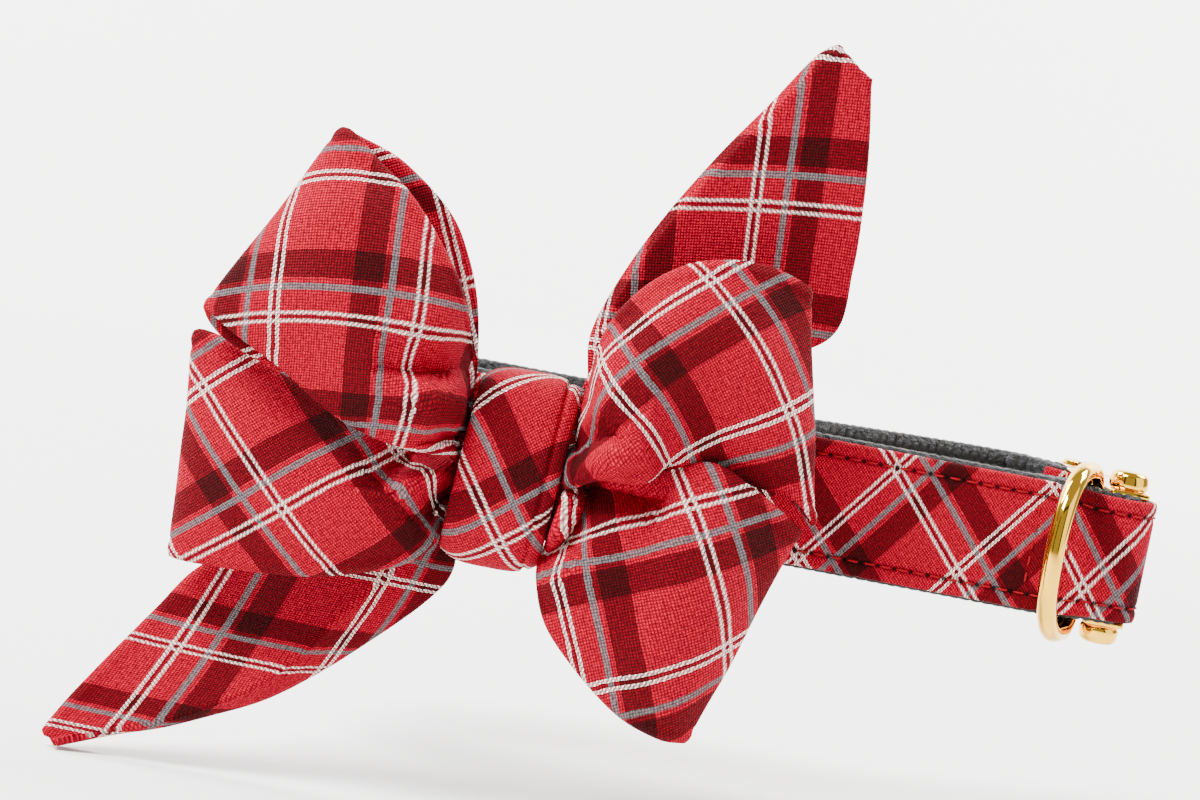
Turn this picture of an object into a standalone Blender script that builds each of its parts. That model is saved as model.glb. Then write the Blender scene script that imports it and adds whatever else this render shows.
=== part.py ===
"""Pet bow tie collar.

A closed strap of webbing with a tartan cover, folded at both ends round the bars of a fastened
metal buckle, a D-ring held between the folded layers, and a tied cloth bow that an elastic keeper
holds on the strap. Metres, +Z up. The origin is the middle of the neck opening, the neck runs
along Z, and the bow faces -Y.
"""
import math

import bmesh
import bpy
from mathutils import Vector

# Strap
STRAP_WIDTH = 0.0254
STRAP_WIDTH_AT_FOLD = 0.0240
NARROWING_LENGTH = 0.0080
WEBBING_THICK = 0.0024
COVER_MARGIN = 0.0005
COVER_THICK = 0.0012
CLEARANCE = 0.0003

# Loop of the strap, seen from above
FRONT_BAR_X = 0.0816
FRONT_BAR_Y = -0.0210
BUCKLE_SPAN = 0.0485
LEFT_TURN_X = -0.0730
LEFT_TURN_RADIUS = 0.0145
BACK_SWELL_START_X = -0.0100
BACK_SWELL_END_X = 0.0700
FOLD_LAP_LENGTH = 0.0030
FOLD_RISE_LENGTH = 0.0070
REAR_OPEN_LENGTH = 0.0050
COVER_END_LENGTH = 0.0080

# Buckle
BAR_RADIUS = 0.0020
BOSS_RADIUS = 0.0039
SOCKET_BOSS_HEIGHT = 0.0038
TONGUE_BOSS_HEIGHT = 0.0010
CHEEK_THICK = 0.0012
CHEEK_LENGTH = 0.0076
BODY_THICK = 0.0088
TONGUE_BODY_LENGTH = 0.0092
SHOULDER_GAP = 0.0008
MOUTH_DEPTH = 0.0160
MOUTH_THICK = 0.0050
MOUTH_WIDTH = 0.0220
BODY_ROUNDING = 0.0010

# D-ring
RING_WIRE_RADIUS = 0.0019
RING_BAR_INSET = 0.0066
RING_HALF_HEIGHT = 0.0161
RING_REACH = 0.0197
RING_CORNER = 0.0042
RING_ARM_LENGTH = 0.0025
RING_FULLNESS = 0.9
RING_LEAN_DEG = 26.0

# Bow
CLOTH_THICK = 0.0016
KNOT_X = -0.0380
KNOT_Z = -0.0030
KNOT_FRONT_Y = -0.0545
KNOT_DEPTH = 0.0255
KNOT_HEIGHT = 0.0380
KNOT_WIDTH = 0.0172
KNOT_WALL = 0.0018
KNOT_SQUARENESS = 2.8
KNOT_EDGE_ROLL = 0.0013
KNOT_LEAN_DEG = 3.4
KNOT_EXIT_GAP = 0.0010
BOW_REACH = 0.0630
BOW_RISE = 0.0565
BOW_PUFF = 0.0120
TAIL_THICK = 0.0016
GATHER_WIDTH = 0.0112
GATHER_SPACING = 0.0032
GATHER_FRONT = 0.0042
TAIL_GATHER_LAYER = 4
TAIL_GATHER_CUT = 0.3
TAIL_GATHER_RIDGE = 0.8
BELLY_FULLNESS = 0.9

# Keeper
KEEPER_WIDTH = 0.0120
KEEPER_THICK = 0.0012
KEEPER_CORNER = 0.0010

# Colours, linear
TARTAN_RED = (0.50, 0.012, 0.022)
WEBBING_GREY = (0.035, 0.036, 0.040)
ELASTIC_GREY = (0.020, 0.020, 0.022)
GOLD = (0.86, 0.56, 0.16)

FRONT_STRAND_Y = FRONT_BAR_Y - BAR_RADIUS - CLEARANCE - WEBBING_THICK / 2
FOLD_RADIUS = BAR_RADIUS + CLEARANCE + WEBBING_THICK / 2
COVER_OFFSET = WEBBING_THICK / 2 + CLEARANCE + COVER_THICK / 2
FRONT_OPEN_LENGTH = RING_BAR_INSET + RING_WIRE_RADIUS + CLEARANCE
BUCKLE_BODY_REACH = FOLD_RADIUS + WEBBING_THICK / 2 + COVER_THICK + 2 * CLEARANCE
SOCKET_LENGTH = BUCKLE_SPAN - 2 * BUCKLE_BODY_REACH - TONGUE_BODY_LENGTH - SHOULDER_GAP
REAR_BAR_Y = FRONT_BAR_Y + BUCKLE_SPAN
BACK_STRAND_Y = REAR_BAR_Y + FOLD_RADIUS
LEFT_BACK_Y = FRONT_STRAND_Y + 2 * LEFT_TURN_RADIUS
GATHER_STATIONS = (CLEARANCE * 2, KNOT_WIDTH / 4, KNOT_WIDTH / 2 + KNOT_EXIT_GAP)

# The loops' rows run from the knot along the front layer, round the bend and back to the knot.
# out and up are shares of BOW_REACH and BOW_RISE from the knot's middle, back is a share of
# BOW_PUFF behind the knot's front, and belly is how far the row's middle stands off, out of the
# bow, in shares of BOW_PUFF.
#            upper edge            lower edge
#            out    up     back    out    up     back   belly
UPPER_LEFT_ROWS = (
    (-0.186, 0.365, 0.32, -0.182, 0.035, 0.25, 0.15),
    (-0.245, 0.590, -0.25, -0.290, 0.040, -0.20, 0.35),
    (-0.400, 0.800, -0.40, -0.480, 0.090, -0.30, 0.50),
    (-0.540, 0.925, -0.30, -0.690, 0.220, -0.30, 0.45),
    (-0.625, 0.990, -0.15, -0.845, 0.305, -0.20, 0.25),
    (-0.655, 0.993, 0.02, -0.950, 0.360, 0.05, 0.00),
    (-0.610, 0.980, 0.18, -0.885, 0.275, 0.26, -0.10),
    (-0.455, 0.915, 0.22, -0.660, 0.185, 0.26, -0.15),
    (-0.278, 0.745, 0.42, -0.380, 0.105, 0.32, -0.10),
    (-0.178, 0.460, 0.78, -0.190, 0.060, 0.58, 0.00),
)
LOWER_LEFT_ROWS = (
    (-0.185, 0.000, 0.75, -0.180, -0.265, 0.45, 0.15),
    (-0.300, 0.020, 0.60, -0.260, -0.345, 0.20, 0.35),
    (-0.520, 0.085, 0.52, -0.480, -0.425, 0.10, 0.45),
    (-0.760, 0.200, 0.52, -0.700, -0.460, 0.20, 0.35),
    (-0.930, 0.255, 0.60, -0.880, -0.475, 0.42, 0.15),
    (-0.988, 0.252, 0.74, -0.942, -0.475, 0.66, 0.00),
    (-0.915, 0.215, 0.98, -0.875, -0.468, 0.92, -0.10),
    (-0.700, 0.140, 1.12, -0.660, -0.420, 1.10, -0.15),
    (-0.440, 0.060, 1.18, -0.420, -0.360, 1.18, -0.10),
    (-0.205, -0.010, 1.18, -0.200, -0.270, 1.20, 0.00),
)
UPPER_RIGHT_ROWS = (
    (0.192, 0.363, 0.32, 0.182, 0.000, 0.25, 0.15),
    (0.210, 0.530, -0.15, 0.270, 0.062, -0.29, 0.35),
    (0.270, 0.650, -0.25, 0.385, 0.082, -0.40, 0.50),
    (0.357, 0.740, -0.25, 0.455, 0.150, -0.18, 0.55),
    (0.470, 0.800, -0.25, 0.580, 0.142, 0.10, 0.50),
    (0.630, 0.815, -0.15, 0.762, 0.110, 0.15, 0.35),
    (0.752, 0.772, 0.08, 0.902, 0.035, 0.27, 0.00),
    (0.635, 0.765, 0.25, 0.795, 0.097, 0.43, -0.10),
    (0.476, 0.700, 0.29, 0.603, 0.195, 0.37, -0.15),
    (0.317, 0.560, 0.46, 0.413, 0.170, 0.36, -0.10),
    (0.190, 0.380, 0.74, 0.206, 0.080, 0.66, 0.00),
)
LOWER_RIGHT_ROWS = (
    (0.180, -0.027, 0.58, 0.175, -0.290, 0.45, 0.15),
    (0.254, 0.035, 0.25, 0.205, -0.434, 0.20, 0.35),
    (0.349, 0.062, 0.16, 0.286, -0.558, 0.05, 0.40),
    (0.450, 0.095, 0.06, 0.381, -0.646, 0.04, 0.45),
    (0.571, 0.159, -0.25, 0.476, -0.711, 0.08, 0.50),
    (0.714, 0.097, -0.21, 0.579, -0.752, 0.18, 0.35),
    (0.812, 0.032, 0.00, 0.635, -0.760, 0.33, 0.15),
    (0.862, -0.011, 0.29, 0.657, -0.760, 0.50, 0.00),
    (0.790, 0.000, 0.62, 0.587, -0.755, 0.75, -0.10),
    (0.603, 0.027, 0.92, 0.420, -0.690, 0.98, -0.15),
    (0.397, 0.010, 1.04, 0.270, -0.540, 1.08, -0.10),
    (0.205, -0.040, 1.15, 0.185, -0.350, 1.18, 0.00),
)
# A tail's rows run from the knot to its tip. The ridge is the seamed edge that faces forward.
#            cut edge              ridge                  seamed edge
#            out    up     back    out    up     back     out    up     back
UPPER_RIGHT_TAIL_ROWS = (
    (0.190, 0.130, 1.50, 0.190, 0.270, 1.42, 0.182, 0.330, 1.60),
    (0.400, 0.330, 1.42, 0.188, 0.480, 1.25, 0.170, 0.490, 1.48),
    (0.650, 0.500, 1.38, 0.242, 0.690, 1.12, 0.225, 0.700, 1.34),
    (0.860, 0.640, 1.36, 0.330, 0.905, 1.00, 0.315, 0.915, 1.22),
    (0.880, 0.870, 1.18, 0.444, 1.115, 0.90, 0.432, 1.125, 1.12),
    (0.870, 1.090, 0.92, 0.564, 1.320, 0.72, 0.554, 1.330, 0.94),
    (0.845, 1.310, 0.62, 0.670, 1.500, 0.52, 0.662, 1.508, 0.74),
    (0.815, 1.475, 0.40, 0.718, 1.550, 0.38, 0.714, 1.556, 0.60),
)
LOWER_LEFT_TAIL_ROWS = (
    (-0.190, -0.080, 1.52, -0.190, -0.240, 1.50, -0.186, -0.335, 1.68),
    (-0.420, -0.270, 1.54, -0.280, -0.370, 1.42, -0.225, -0.500, 1.65),
    (-0.700, -0.410, 1.50, -0.395, -0.555, 1.10, -0.350, -0.680, 1.50),
    (-0.870, -0.540, 1.35, -0.515, -0.745, 0.92, -0.485, -0.815, 1.30),
    (-0.970, -0.700, 1.20, -0.660, -0.900, 0.84, -0.648, -0.940, 1.14),
    (-1.080, -0.880, 1.00, -0.860, -1.030, 0.76, -0.855, -1.055, 1.02),
    (-1.170, -1.035, 0.82, -1.050, -1.115, 0.68, -1.050, -1.135, 0.92),
    (-1.225, -1.145, 0.66, -1.185, -1.172, 0.60, -1.185, -1.184, 0.82),
)
# Pleats that run out from the knot along the front layer. start and end are where a pleat lies
# across the band at the knot and where it fades (0 upper edge, 1 lower edge), deep is a share of
# BOW_PUFF and below zero for a raised fold, wide a share of the band, reach a share of the layer.
#    start  end   deep  wide  reach
UPPER_LEFT_PLEATS = (
    (0.10, 0.80, 0.20, 0.09, 0.55),
    (0.40, 0.95, -0.14, 0.12, 0.45),
)
LOWER_LEFT_PLEATS = (
    (0.22, 0.34, 0.20, 0.09, 0.40),
    (0.52, 0.52, -0.14, 0.12, 0.45),
    (0.86, 0.72, 0.18, 0.09, 0.35),
)
UPPER_RIGHT_PLEATS = (
    (0.58, 0.30, 0.18, 0.08, 0.35),
    (0.80, 0.60, 0.24, 0.09, 0.50),
    (0.94, 0.86, -0.12, 0.10, 0.45),
)
LOWER_RIGHT_PLEATS = (
    (0.20, 0.16, -0.12, 0.10, 0.35),
    (0.74, 0.24, 0.26, 0.09, 0.30),
    (0.90, 0.60, -0.10, 0.12, 0.40),
)
BEND_ROWS = {
    "bow_loop_upper_left": 5,
    "bow_loop_lower_left": 5,
    "bow_loop_upper_right": 6,
    "bow_loop_lower_right": 7,
}
PLEAT_START_SHARE = 0.14
ROW_STEPS = 2
LOOP_COLUMNS = 10
TAIL_COLUMNS_FRONT = 6
TAIL_COLUMNS_TURN = 1


def clear_scene():
    for item in list(bpy.data.objects):
        bpy.data.objects.remove(item, do_unlink=True)


def make_collection(name):
    collection = bpy.data.collections.new(name)
    bpy.context.scene.collection.children.link(collection)
    return collection


def make_material(name, colour, roughness, metallic):
    material = bpy.data.materials.new(name)
    material.use_nodes = True
    shader = material.node_tree.nodes["Principled BSDF"]
    shader.inputs["Base Color"].default_value = (*colour, 1.0)
    shader.inputs["Roughness"].default_value = roughness
    shader.inputs["Metallic"].default_value = metallic
    return material


def add_object(name, data, collection, material):
    item = bpy.data.objects.new(name, data)
    collection.objects.link(item)
    data.materials.append(material)
    return item


def shade(item):
    item.data.shade_smooth()
    item.data.set_sharp_from_angle(angle=math.radians(40))


def grid_object(name, rows, collection, material, thickness, closed=False):
    """One sheet through rows of points, thickened evenly to both sides."""
    columns = len(rows[0])
    points = [tuple(point) for row in rows for point in row]
    faces = []
    last = len(rows) if closed else len(rows) - 1
    for i in range(last):
        near = i * columns
        far = (i + 1) % len(rows) * columns
        for j in range(columns - 1):
            faces.append((near + j, near + j + 1, far + j + 1, far + j))
    mesh = bpy.data.meshes.new(name)
    mesh.from_pydata(points, [], faces)
    mesh.update()
    item = add_object(name, mesh, collection, material)
    solidify = item.modifiers.new("thickness", "SOLIDIFY")
    solidify.thickness = thickness
    solidify.offset = 0.0
    solidify.use_even_offset = False
    shade(item)
    return item


def smooth_through(values, steps):
    """Points of a smooth curve through the given ones, with steps between each two."""
    result = []
    last = len(values) - 1
    for i in range(last):
        before = values[max(i - 1, 0)]
        here = values[i]
        there = values[i + 1]
        after = values[min(i + 2, last)]
        for k in range(steps):
            t = k / steps
            point = []
            for a, b, c, d in zip(before, here, there, after):
                bend = (2 * a - 5 * b + 4 * c - d) * t * t
                twist = (3 * b - a - 3 * c + d) * t * t * t
                point.append(0.5 * (2 * b + (c - a) * t + bend + twist))
            result.append(point)
    result.append(list(values[-1]))
    return result


# Strap

def smooth_step(t):
    t = min(max(t, 0.0), 1.0)
    return t * t * (3 - 2 * t)


def arc(centre_x, centre_y, radius, start_deg, end_deg, steps):
    points = []
    for k in range(steps + 1):
        angle = math.radians(start_deg + (end_deg - start_deg) * k / steps)
        points.append((centre_x + radius * math.cos(angle), centre_y + radius * math.sin(angle)))
    return points


def folded_end(bar_y, side, open_length):
    """Plan points of the layer that is folded back, from its end to the bar; side is -1 in front.

    The layer laps on the strand, then rises off it, and lies open for open_length before the bar.
    """
    lap_y = bar_y + side * (FOLD_RADIUS - WEBBING_THICK - 2 * CLEARANCE)
    open_y = bar_y - side * FOLD_RADIUS
    rise_x = FRONT_BAR_X - open_length - FOLD_RISE_LENGTH
    points = [(rise_x - FOLD_LAP_LENGTH, lap_y)]
    steps = 6
    for k in range(steps + 1):
        t = k / steps
        points.append((rise_x + FOLD_RISE_LENGTH * t, lap_y + (open_y - lap_y) * smooth_step(t)))
    points.append((FRONT_BAR_X - open_length / 2, open_y))
    return points


def strap_plan():
    """Plan points of the webbing's middle, from the front folded end round the neck to the rear one."""
    points = folded_end(FRONT_BAR_Y, -1, FRONT_OPEN_LENGTH)
    points += arc(FRONT_BAR_X, FRONT_BAR_Y, FOLD_RADIUS, 90, -90, 10)
    straight = 6
    for k in range(1, straight):
        x = FRONT_BAR_X + (LEFT_TURN_X - FRONT_BAR_X) * k / straight
        points.append((x, FRONT_STRAND_Y))
    turn_y = FRONT_STRAND_Y + LEFT_TURN_RADIUS
    points += arc(LEFT_TURN_X, turn_y, LEFT_TURN_RADIUS, -90, -270, 12)
    back = 18
    for k in range(1, back):
        x = LEFT_TURN_X + (FRONT_BAR_X - LEFT_TURN_X) * k / back
        share = smooth_step((x - BACK_SWELL_START_X) / (BACK_SWELL_END_X - BACK_SWELL_START_X))
        points.append((x, LEFT_BACK_Y + (BACK_STRAND_Y - LEFT_BACK_Y) * share))
    points += arc(FRONT_BAR_X, REAR_BAR_Y, FOLD_RADIUS, 90, -90, 10)
    points += reversed(folded_end(REAR_BAR_Y, 1, REAR_OPEN_LENGTH))
    return points


def offset_plan(points, distance):
    """The plan line moved to its left by distance."""
    moved = []
    for i, (x, y) in enumerate(points):
        before = points[max(i - 1, 0)]
        after = points[min(i + 1, len(points) - 1)]
        along = Vector((after[0] - before[0], after[1] - before[1])).normalized()
        moved.append((x - along.y * distance, y + along.x * distance))
    return moved


def width_at(x, full):
    """The strap narrows a little before it passes between a buckle's cheeks."""
    full_at = FRONT_BAR_X - CHEEK_LENGTH / 2 - NARROWING_LENGTH
    share = smooth_step((x - full_at) / (NARROWING_LENGTH - CLEARANCE * 2))
    return full - share * (STRAP_WIDTH - STRAP_WIDTH_AT_FOLD)


def strap_rows(points, width):
    rows = []
    for x, y in points:
        reach = width_at(x, width) / 2
        rows.append([Vector((x, y, -reach)), Vector((x, y, reach))])
    return rows


def build_strap(collection):
    nylon = make_material("charcoal webbing", WEBBING_GREY, 0.85, 0.0)
    cotton = make_material("tartan cover", TARTAN_RED, 0.85, 0.0)
    plan = strap_plan()
    grid_object("collar_webbing", strap_rows(plan, STRAP_WIDTH), collection, nylon, WEBBING_THICK)
    outer = offset_plan(plan, COVER_OFFSET)
    cut_x = FRONT_BAR_X - COVER_END_LENGTH
    first = next(i for i, point in enumerate(outer) if point[0] > cut_x)
    last = len(outer) - first
    width = STRAP_WIDTH - 2 * COVER_MARGIN
    grid_object("collar_cover", strap_rows(outer[first:last], width), collection, cotton, COVER_THICK)


# Buckle

def box_object(name, low, high, collection, material):
    builder = bmesh.new()
    bmesh.ops.create_cube(builder, size=1.0)
    bmesh.ops.scale(builder, vec=[b - a for a, b in zip(low, high)], verts=builder.verts)
    bmesh.ops.translate(builder, vec=[(a + b) / 2 for a, b in zip(low, high)], verts=builder.verts)
    mesh = bpy.data.meshes.new(name)
    builder.to_mesh(mesh)
    builder.free()
    return add_object(name, mesh, collection, material)


def post_object(name, radius, low_z, high_z, centre, collection, material, segments=24):
    builder = bmesh.new()
    bmesh.ops.create_cone(builder, cap_ends=True, segments=segments, radius1=radius, radius2=radius,
                          depth=high_z - low_z)
    bmesh.ops.translate(builder, vec=(*centre, (low_z + high_z) / 2), verts=builder.verts)
    mesh = bpy.data.meshes.new(name)
    builder.to_mesh(mesh)
    builder.free()
    return add_object(name, mesh, collection, material)


def boolean(target, tool, operation):
    modifier = target.modifiers.new(operation.lower() + " " + tool.name, "BOOLEAN")
    modifier.operation = operation
    modifier.solver = "EXACT"
    modifier.object = tool


def bevel(item, width, segments=2):
    modifier = item.modifiers.new("rounding", "BEVEL")
    modifier.width = width
    modifier.segments = segments
    modifier.limit_method = "ANGLE"
    modifier.angle_limit = math.radians(40)


def as_helper(item):
    item.hide_render = True
    item.display_type = "WIRE"


def buckle_half(name, bar_y, toward, body_length, boss_height, collection, helpers, gold):
    """A bar between two cheeks with a boss at each end, and the body that the cheeks stand on."""
    cheek_low = STRAP_WIDTH_AT_FOLD / 2 + CLEARANCE
    cheek_high = cheek_low + CHEEK_THICK
    body_near = bar_y + toward * BUCKLE_BODY_REACH
    body_far = body_near + toward * body_length
    low_y, high_y = sorted((body_near, body_far))
    half = BODY_THICK / 2
    body = box_object(name, (FRONT_BAR_X - half, low_y, -cheek_high),
                      (FRONT_BAR_X + half, high_y, cheek_high), collection, gold)
    bevel(body, BODY_ROUNDING)
    cheek_y = sorted((bar_y - toward * BOSS_RADIUS, body_near + toward * BODY_ROUNDING * 2))
    for side in (-1, 1):
        low_z, high_z = sorted((side * cheek_low, side * cheek_high))
        cheek = box_object(f"{name} cheek {side}",
                           (FRONT_BAR_X - CHEEK_LENGTH / 2, cheek_y[0], low_z),
                           (FRONT_BAR_X + CHEEK_LENGTH / 2, cheek_y[1], high_z), helpers, gold)
        as_helper(cheek)
        boolean(body, cheek, "UNION")
        low_z, high_z = sorted((side * (cheek_high - CLEARANCE), side * (cheek_high + boss_height)))
        boss = post_object(f"{name} boss {side}", BOSS_RADIUS, low_z, high_z,
                           (FRONT_BAR_X, bar_y), helpers, gold)
        bevel(boss, BODY_ROUNDING)
        as_helper(boss)
        boolean(body, boss, "UNION")
    bar = post_object(f"{name} bar", BAR_RADIUS, -cheek_high + CLEARANCE, cheek_high - CLEARANCE,
                      (FRONT_BAR_X, bar_y), helpers, gold, segments=16)
    as_helper(bar)
    boolean(body, bar, "UNION")
    return body, body_far


def build_buckle(collection, helpers):
    gold = make_material("gold plated buckle", GOLD, 0.12, 1.0)
    socket, mouth_y = buckle_half("buckle_socket", FRONT_BAR_Y, 1, SOCKET_LENGTH,
                                  SOCKET_BOSS_HEIGHT, collection, helpers, gold)
    mouth = box_object("buckle mouth", (FRONT_BAR_X - MOUTH_THICK / 2, mouth_y - MOUTH_DEPTH,
                                        -MOUTH_WIDTH / 2),
                       (FRONT_BAR_X + MOUTH_THICK / 2, mouth_y + BODY_ROUNDING, MOUTH_WIDTH / 2),
                       helpers, gold)
    as_helper(mouth)
    boolean(socket, mouth, "DIFFERENCE")
    shade(socket)
    gold = make_material("gold plated tongue", GOLD, 0.12, 1.0)
    tongue, shoulder_y = buckle_half("buckle_tongue", REAR_BAR_Y, -1, TONGUE_BODY_LENGTH,
                                     TONGUE_BOSS_HEIGHT, collection, helpers, gold)
    stem_half = MOUTH_THICK / 2 - CLEARANCE
    stem_reach = MOUTH_WIDTH / 2 - CLEARANCE
    stem = box_object("tongue stem", (FRONT_BAR_X - stem_half, mouth_y - MOUTH_DEPTH + CLEARANCE,
                                      -stem_reach),
                      (FRONT_BAR_X + stem_half, shoulder_y + BODY_ROUNDING * 2, stem_reach),
                      helpers, gold)
    as_helper(stem)
    boolean(tongue, stem, "UNION")
    shade(tongue)


# D-ring

def ring_outline():
    """Half of the ring from the middle of its bar to the middle of its arc: reach and height."""
    points = [(0.0, 0.0)]
    for k in range(5):
        angle = math.radians(180 - 90 * k / 4)
        reach = RING_CORNER + RING_CORNER * math.cos(angle)
        height = RING_HALF_HEIGHT - RING_CORNER + RING_CORNER * math.sin(angle)
        points.append((reach, height))
    arms = RING_CORNER + RING_ARM_LENGTH
    steps = 8
    for k in range(steps + 1):
        angle = math.radians(90 - 90 * k / steps)
        reach = arms + (RING_REACH - arms) * math.cos(angle) ** RING_FULLNESS
        height = RING_HALF_HEIGHT * math.sin(angle) ** RING_FULLNESS
        points.append((reach, height))
    return points


def build_ring(collection):
    gold = make_material("gold plated ring", GOLD, 0.10, 1.0)
    half = ring_outline()
    points = half + [(reach, -height) for reach, height in reversed(half[1:-1])]
    lean = math.radians(RING_LEAN_DEG)
    curve = bpy.data.curves.new("d_ring", "CURVE")
    curve.dimensions = "3D"
    curve.bevel_depth = RING_WIRE_RADIUS
    curve.bevel_resolution = 3
    spline = curve.splines.new("POLY")
    spline.points.add(len(points) - 1)
    spline.use_cyclic_u = True
    for point, (reach, height) in zip(spline.points, points):
        point.co = (-reach * math.sin(lean), -reach * math.cos(lean), height, 1.0)
    ring = add_object("d_ring", curve, collection, gold)
    ring.location = (FRONT_BAR_X - RING_BAR_INSET, FRONT_BAR_Y, 0.0)


# Bow

def knot_ring(squareness, depth, height, width, centre, edge_roll, lean_deg, around, across):
    """A band that closes round the X axis: rows of points, one for each step around."""
    rows = []
    lean = math.tan(math.radians(lean_deg))
    for i in range(around):
        angle = 2 * math.pi * i / around
        c = math.cos(angle)
        s = math.sin(angle)
        power = 2 / squareness
        y = -math.copysign(abs(c) ** power, c) * depth / 2
        z = math.copysign(abs(s) ** power, s) * height / 2
        row = []
        for j in range(across + 1):
            v = 2 * j / across - 1
            roll = 1 - edge_roll / (depth / 2) * v ** 4
            row.append(Vector((centre[0] + v * width / 2 + z * lean,
                               centre[1] + y * roll, centre[2] + z * roll)))
        rows.append(row)
    return rows


def build_knot(collection):
    cotton = make_material("tartan knot", TARTAN_RED, 0.85, 0.0)
    centre = (KNOT_X, KNOT_FRONT_Y + KNOT_DEPTH / 2, KNOT_Z)
    rows = knot_ring(KNOT_SQUARENESS, KNOT_DEPTH - KNOT_WALL, KNOT_HEIGHT - KNOT_WALL,
                     KNOT_WIDTH, centre, KNOT_EDGE_ROLL, KNOT_LEAN_DEG, 32, 6)
    grid_object("bow_knot", rows, collection, cotton, KNOT_WALL, closed=True)


def build_keeper(collection):
    elastic = make_material("black elastic", ELASTIC_GREY, 0.9, 0.0)
    inner_front = FRONT_STRAND_Y - COVER_OFFSET - COVER_THICK / 2 - CLEARANCE
    inner_back = FRONT_STRAND_Y + WEBBING_THICK / 2 + CLEARANCE
    middle = KEEPER_THICK / 2
    low_y = inner_front - middle
    high_y = inner_back + middle
    top = STRAP_WIDTH / 2 + CLEARANCE + middle
    corner = KEEPER_CORNER
    outline = []
    for y, z, start in ((high_y, top, 0), (low_y, top, 90), (low_y, -top, 180), (high_y, -top, 270)):
        turn_y = y - math.copysign(corner, y - (low_y + high_y) / 2)
        turn_z = z - math.copysign(corner, z)
        outline += arc(turn_y, turn_z, corner, start, start + 90, 4)
    rows = []
    for y, z in outline:
        rows.append([Vector((KNOT_X + side * KEEPER_WIDTH / 2, y, z)) for side in (-1, 1)])
    grid_object("bow_keeper", rows, collection, elastic, KEEPER_THICK, closed=True)


def gather_rows(side, level, layer):
    """The two rows inside the knot where a band is gathered: its end and its way out of the ring."""
    low = KNOT_Z + level * (GATHER_WIDTH / 2 + CLEARANCE * 2) - GATHER_WIDTH / 2
    y = KNOT_FRONT_Y + KNOT_WALL + GATHER_FRONT + GATHER_SPACING * layer
    rows = []
    for x in GATHER_STATIONS:
        place = KNOT_X + side * x
        rows.append([place, low + GATHER_WIDTH, y, place, low, y, 0.0])
    return rows


def placed_loop_rows(table, side, level, layer):
    front = gather_rows(side, level, layer)
    back = gather_rows(side, level, layer + 1)
    rows = list(front)
    for upper_out, upper_up, upper_back, lower_out, lower_up, lower_back, belly in table:
        rows.append([KNOT_X + upper_out * BOW_REACH, KNOT_Z + upper_up * BOW_RISE,
                     KNOT_FRONT_Y + upper_back * BOW_PUFF,
                     KNOT_X + lower_out * BOW_REACH, KNOT_Z + lower_up * BOW_RISE,
                     KNOT_FRONT_Y + lower_back * BOW_PUFF, belly * BOW_PUFF])
    rows += reversed(back)
    return rows


def pleat_depth(pleats, across, along):
    """How far the pleats press the cloth in, for along from 0 at the knot to 1 at the bend."""
    depth = 0.0
    for start, end, deep, wide, reach in pleats:
        run = (along - PLEAT_START_SHARE) / reach
        place = start + (end - start) * min(max(run, 0.0), 1.0)
        swell = smooth_step(along / PLEAT_START_SHARE) * (1 - smooth_step(run))
        depth += deep * BOW_PUFF * swell * math.exp(-((across - place) / wide) ** 2)
    return depth


def build_loop(name, table, pleats, side, level, layer, collection):
    cotton = make_material(f"tartan {name}", TARTAN_RED, 0.85, 0.0)
    rows = smooth_through(placed_loop_rows(table, side, level, layer), ROW_STEPS)
    knot_exit = (len(GATHER_STATIONS) - 1) * ROW_STEPS
    bend = (BEND_ROWS[name] + len(GATHER_STATIONS)) * ROW_STEPS
    grid = []
    for i, (x0, z0, y0, x1, z1, y1, belly) in enumerate(rows):
        along = min(max((i - knot_exit) / (bend - knot_exit), 0.0), 1.0)
        row = []
        for j in range(LOOP_COLUMNS + 1):
            v = j / LOOP_COLUMNS
            y = y0 + (y1 - y0) * v - belly * math.sin(math.pi * v) ** BELLY_FULLNESS
            y += pleat_depth(pleats, v, along)
            row.append(Vector((x0 + (x1 - x0) * v, y, z0 + (z1 - z0) * v)))
        grid.append(row)
    grid_object(name, grid, collection, cotton, CLOTH_THICK)


def build_tail(name, table, side, level, collection):
    cotton = make_material(f"tartan {name}", TARTAN_RED, 0.85, 0.0)
    rows = []
    y = KNOT_FRONT_Y + KNOT_WALL + GATHER_FRONT + GATHER_SPACING * TAIL_GATHER_LAYER
    for x in GATHER_STATIONS:
        place = KNOT_X + side * x
        cut = [place, KNOT_Z - level * GATHER_WIDTH * TAIL_GATHER_CUT, y]
        ridge = [place, KNOT_Z + level * GATHER_WIDTH * TAIL_GATHER_RIDGE, y]
        seam = [place, KNOT_Z + level * GATHER_WIDTH, y + TAIL_THICK]
        rows.append(cut + ridge + seam)
    for row in table:
        placed = []
        for k in (0, 3, 6):
            placed += [KNOT_X + row[k] * BOW_REACH, KNOT_Z + row[k + 1] * BOW_RISE,
                       KNOT_FRONT_Y + row[k + 2] * BOW_PUFF]
        rows.append(placed)
    grid = []
    for values in smooth_through(rows, ROW_STEPS):
        cut = Vector((values[0], values[2], values[1]))
        ridge = Vector((values[3], values[5], values[4]))
        seam = Vector((values[6], values[8], values[7]))
        row = [cut.lerp(ridge, k / TAIL_COLUMNS_FRONT) for k in range(TAIL_COLUMNS_FRONT)]
        row += [ridge.lerp(seam, k / TAIL_COLUMNS_TURN) for k in range(TAIL_COLUMNS_TURN + 1)]
        grid.append(row)
    grid_object(name, grid, collection, cotton, TAIL_THICK)


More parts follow.
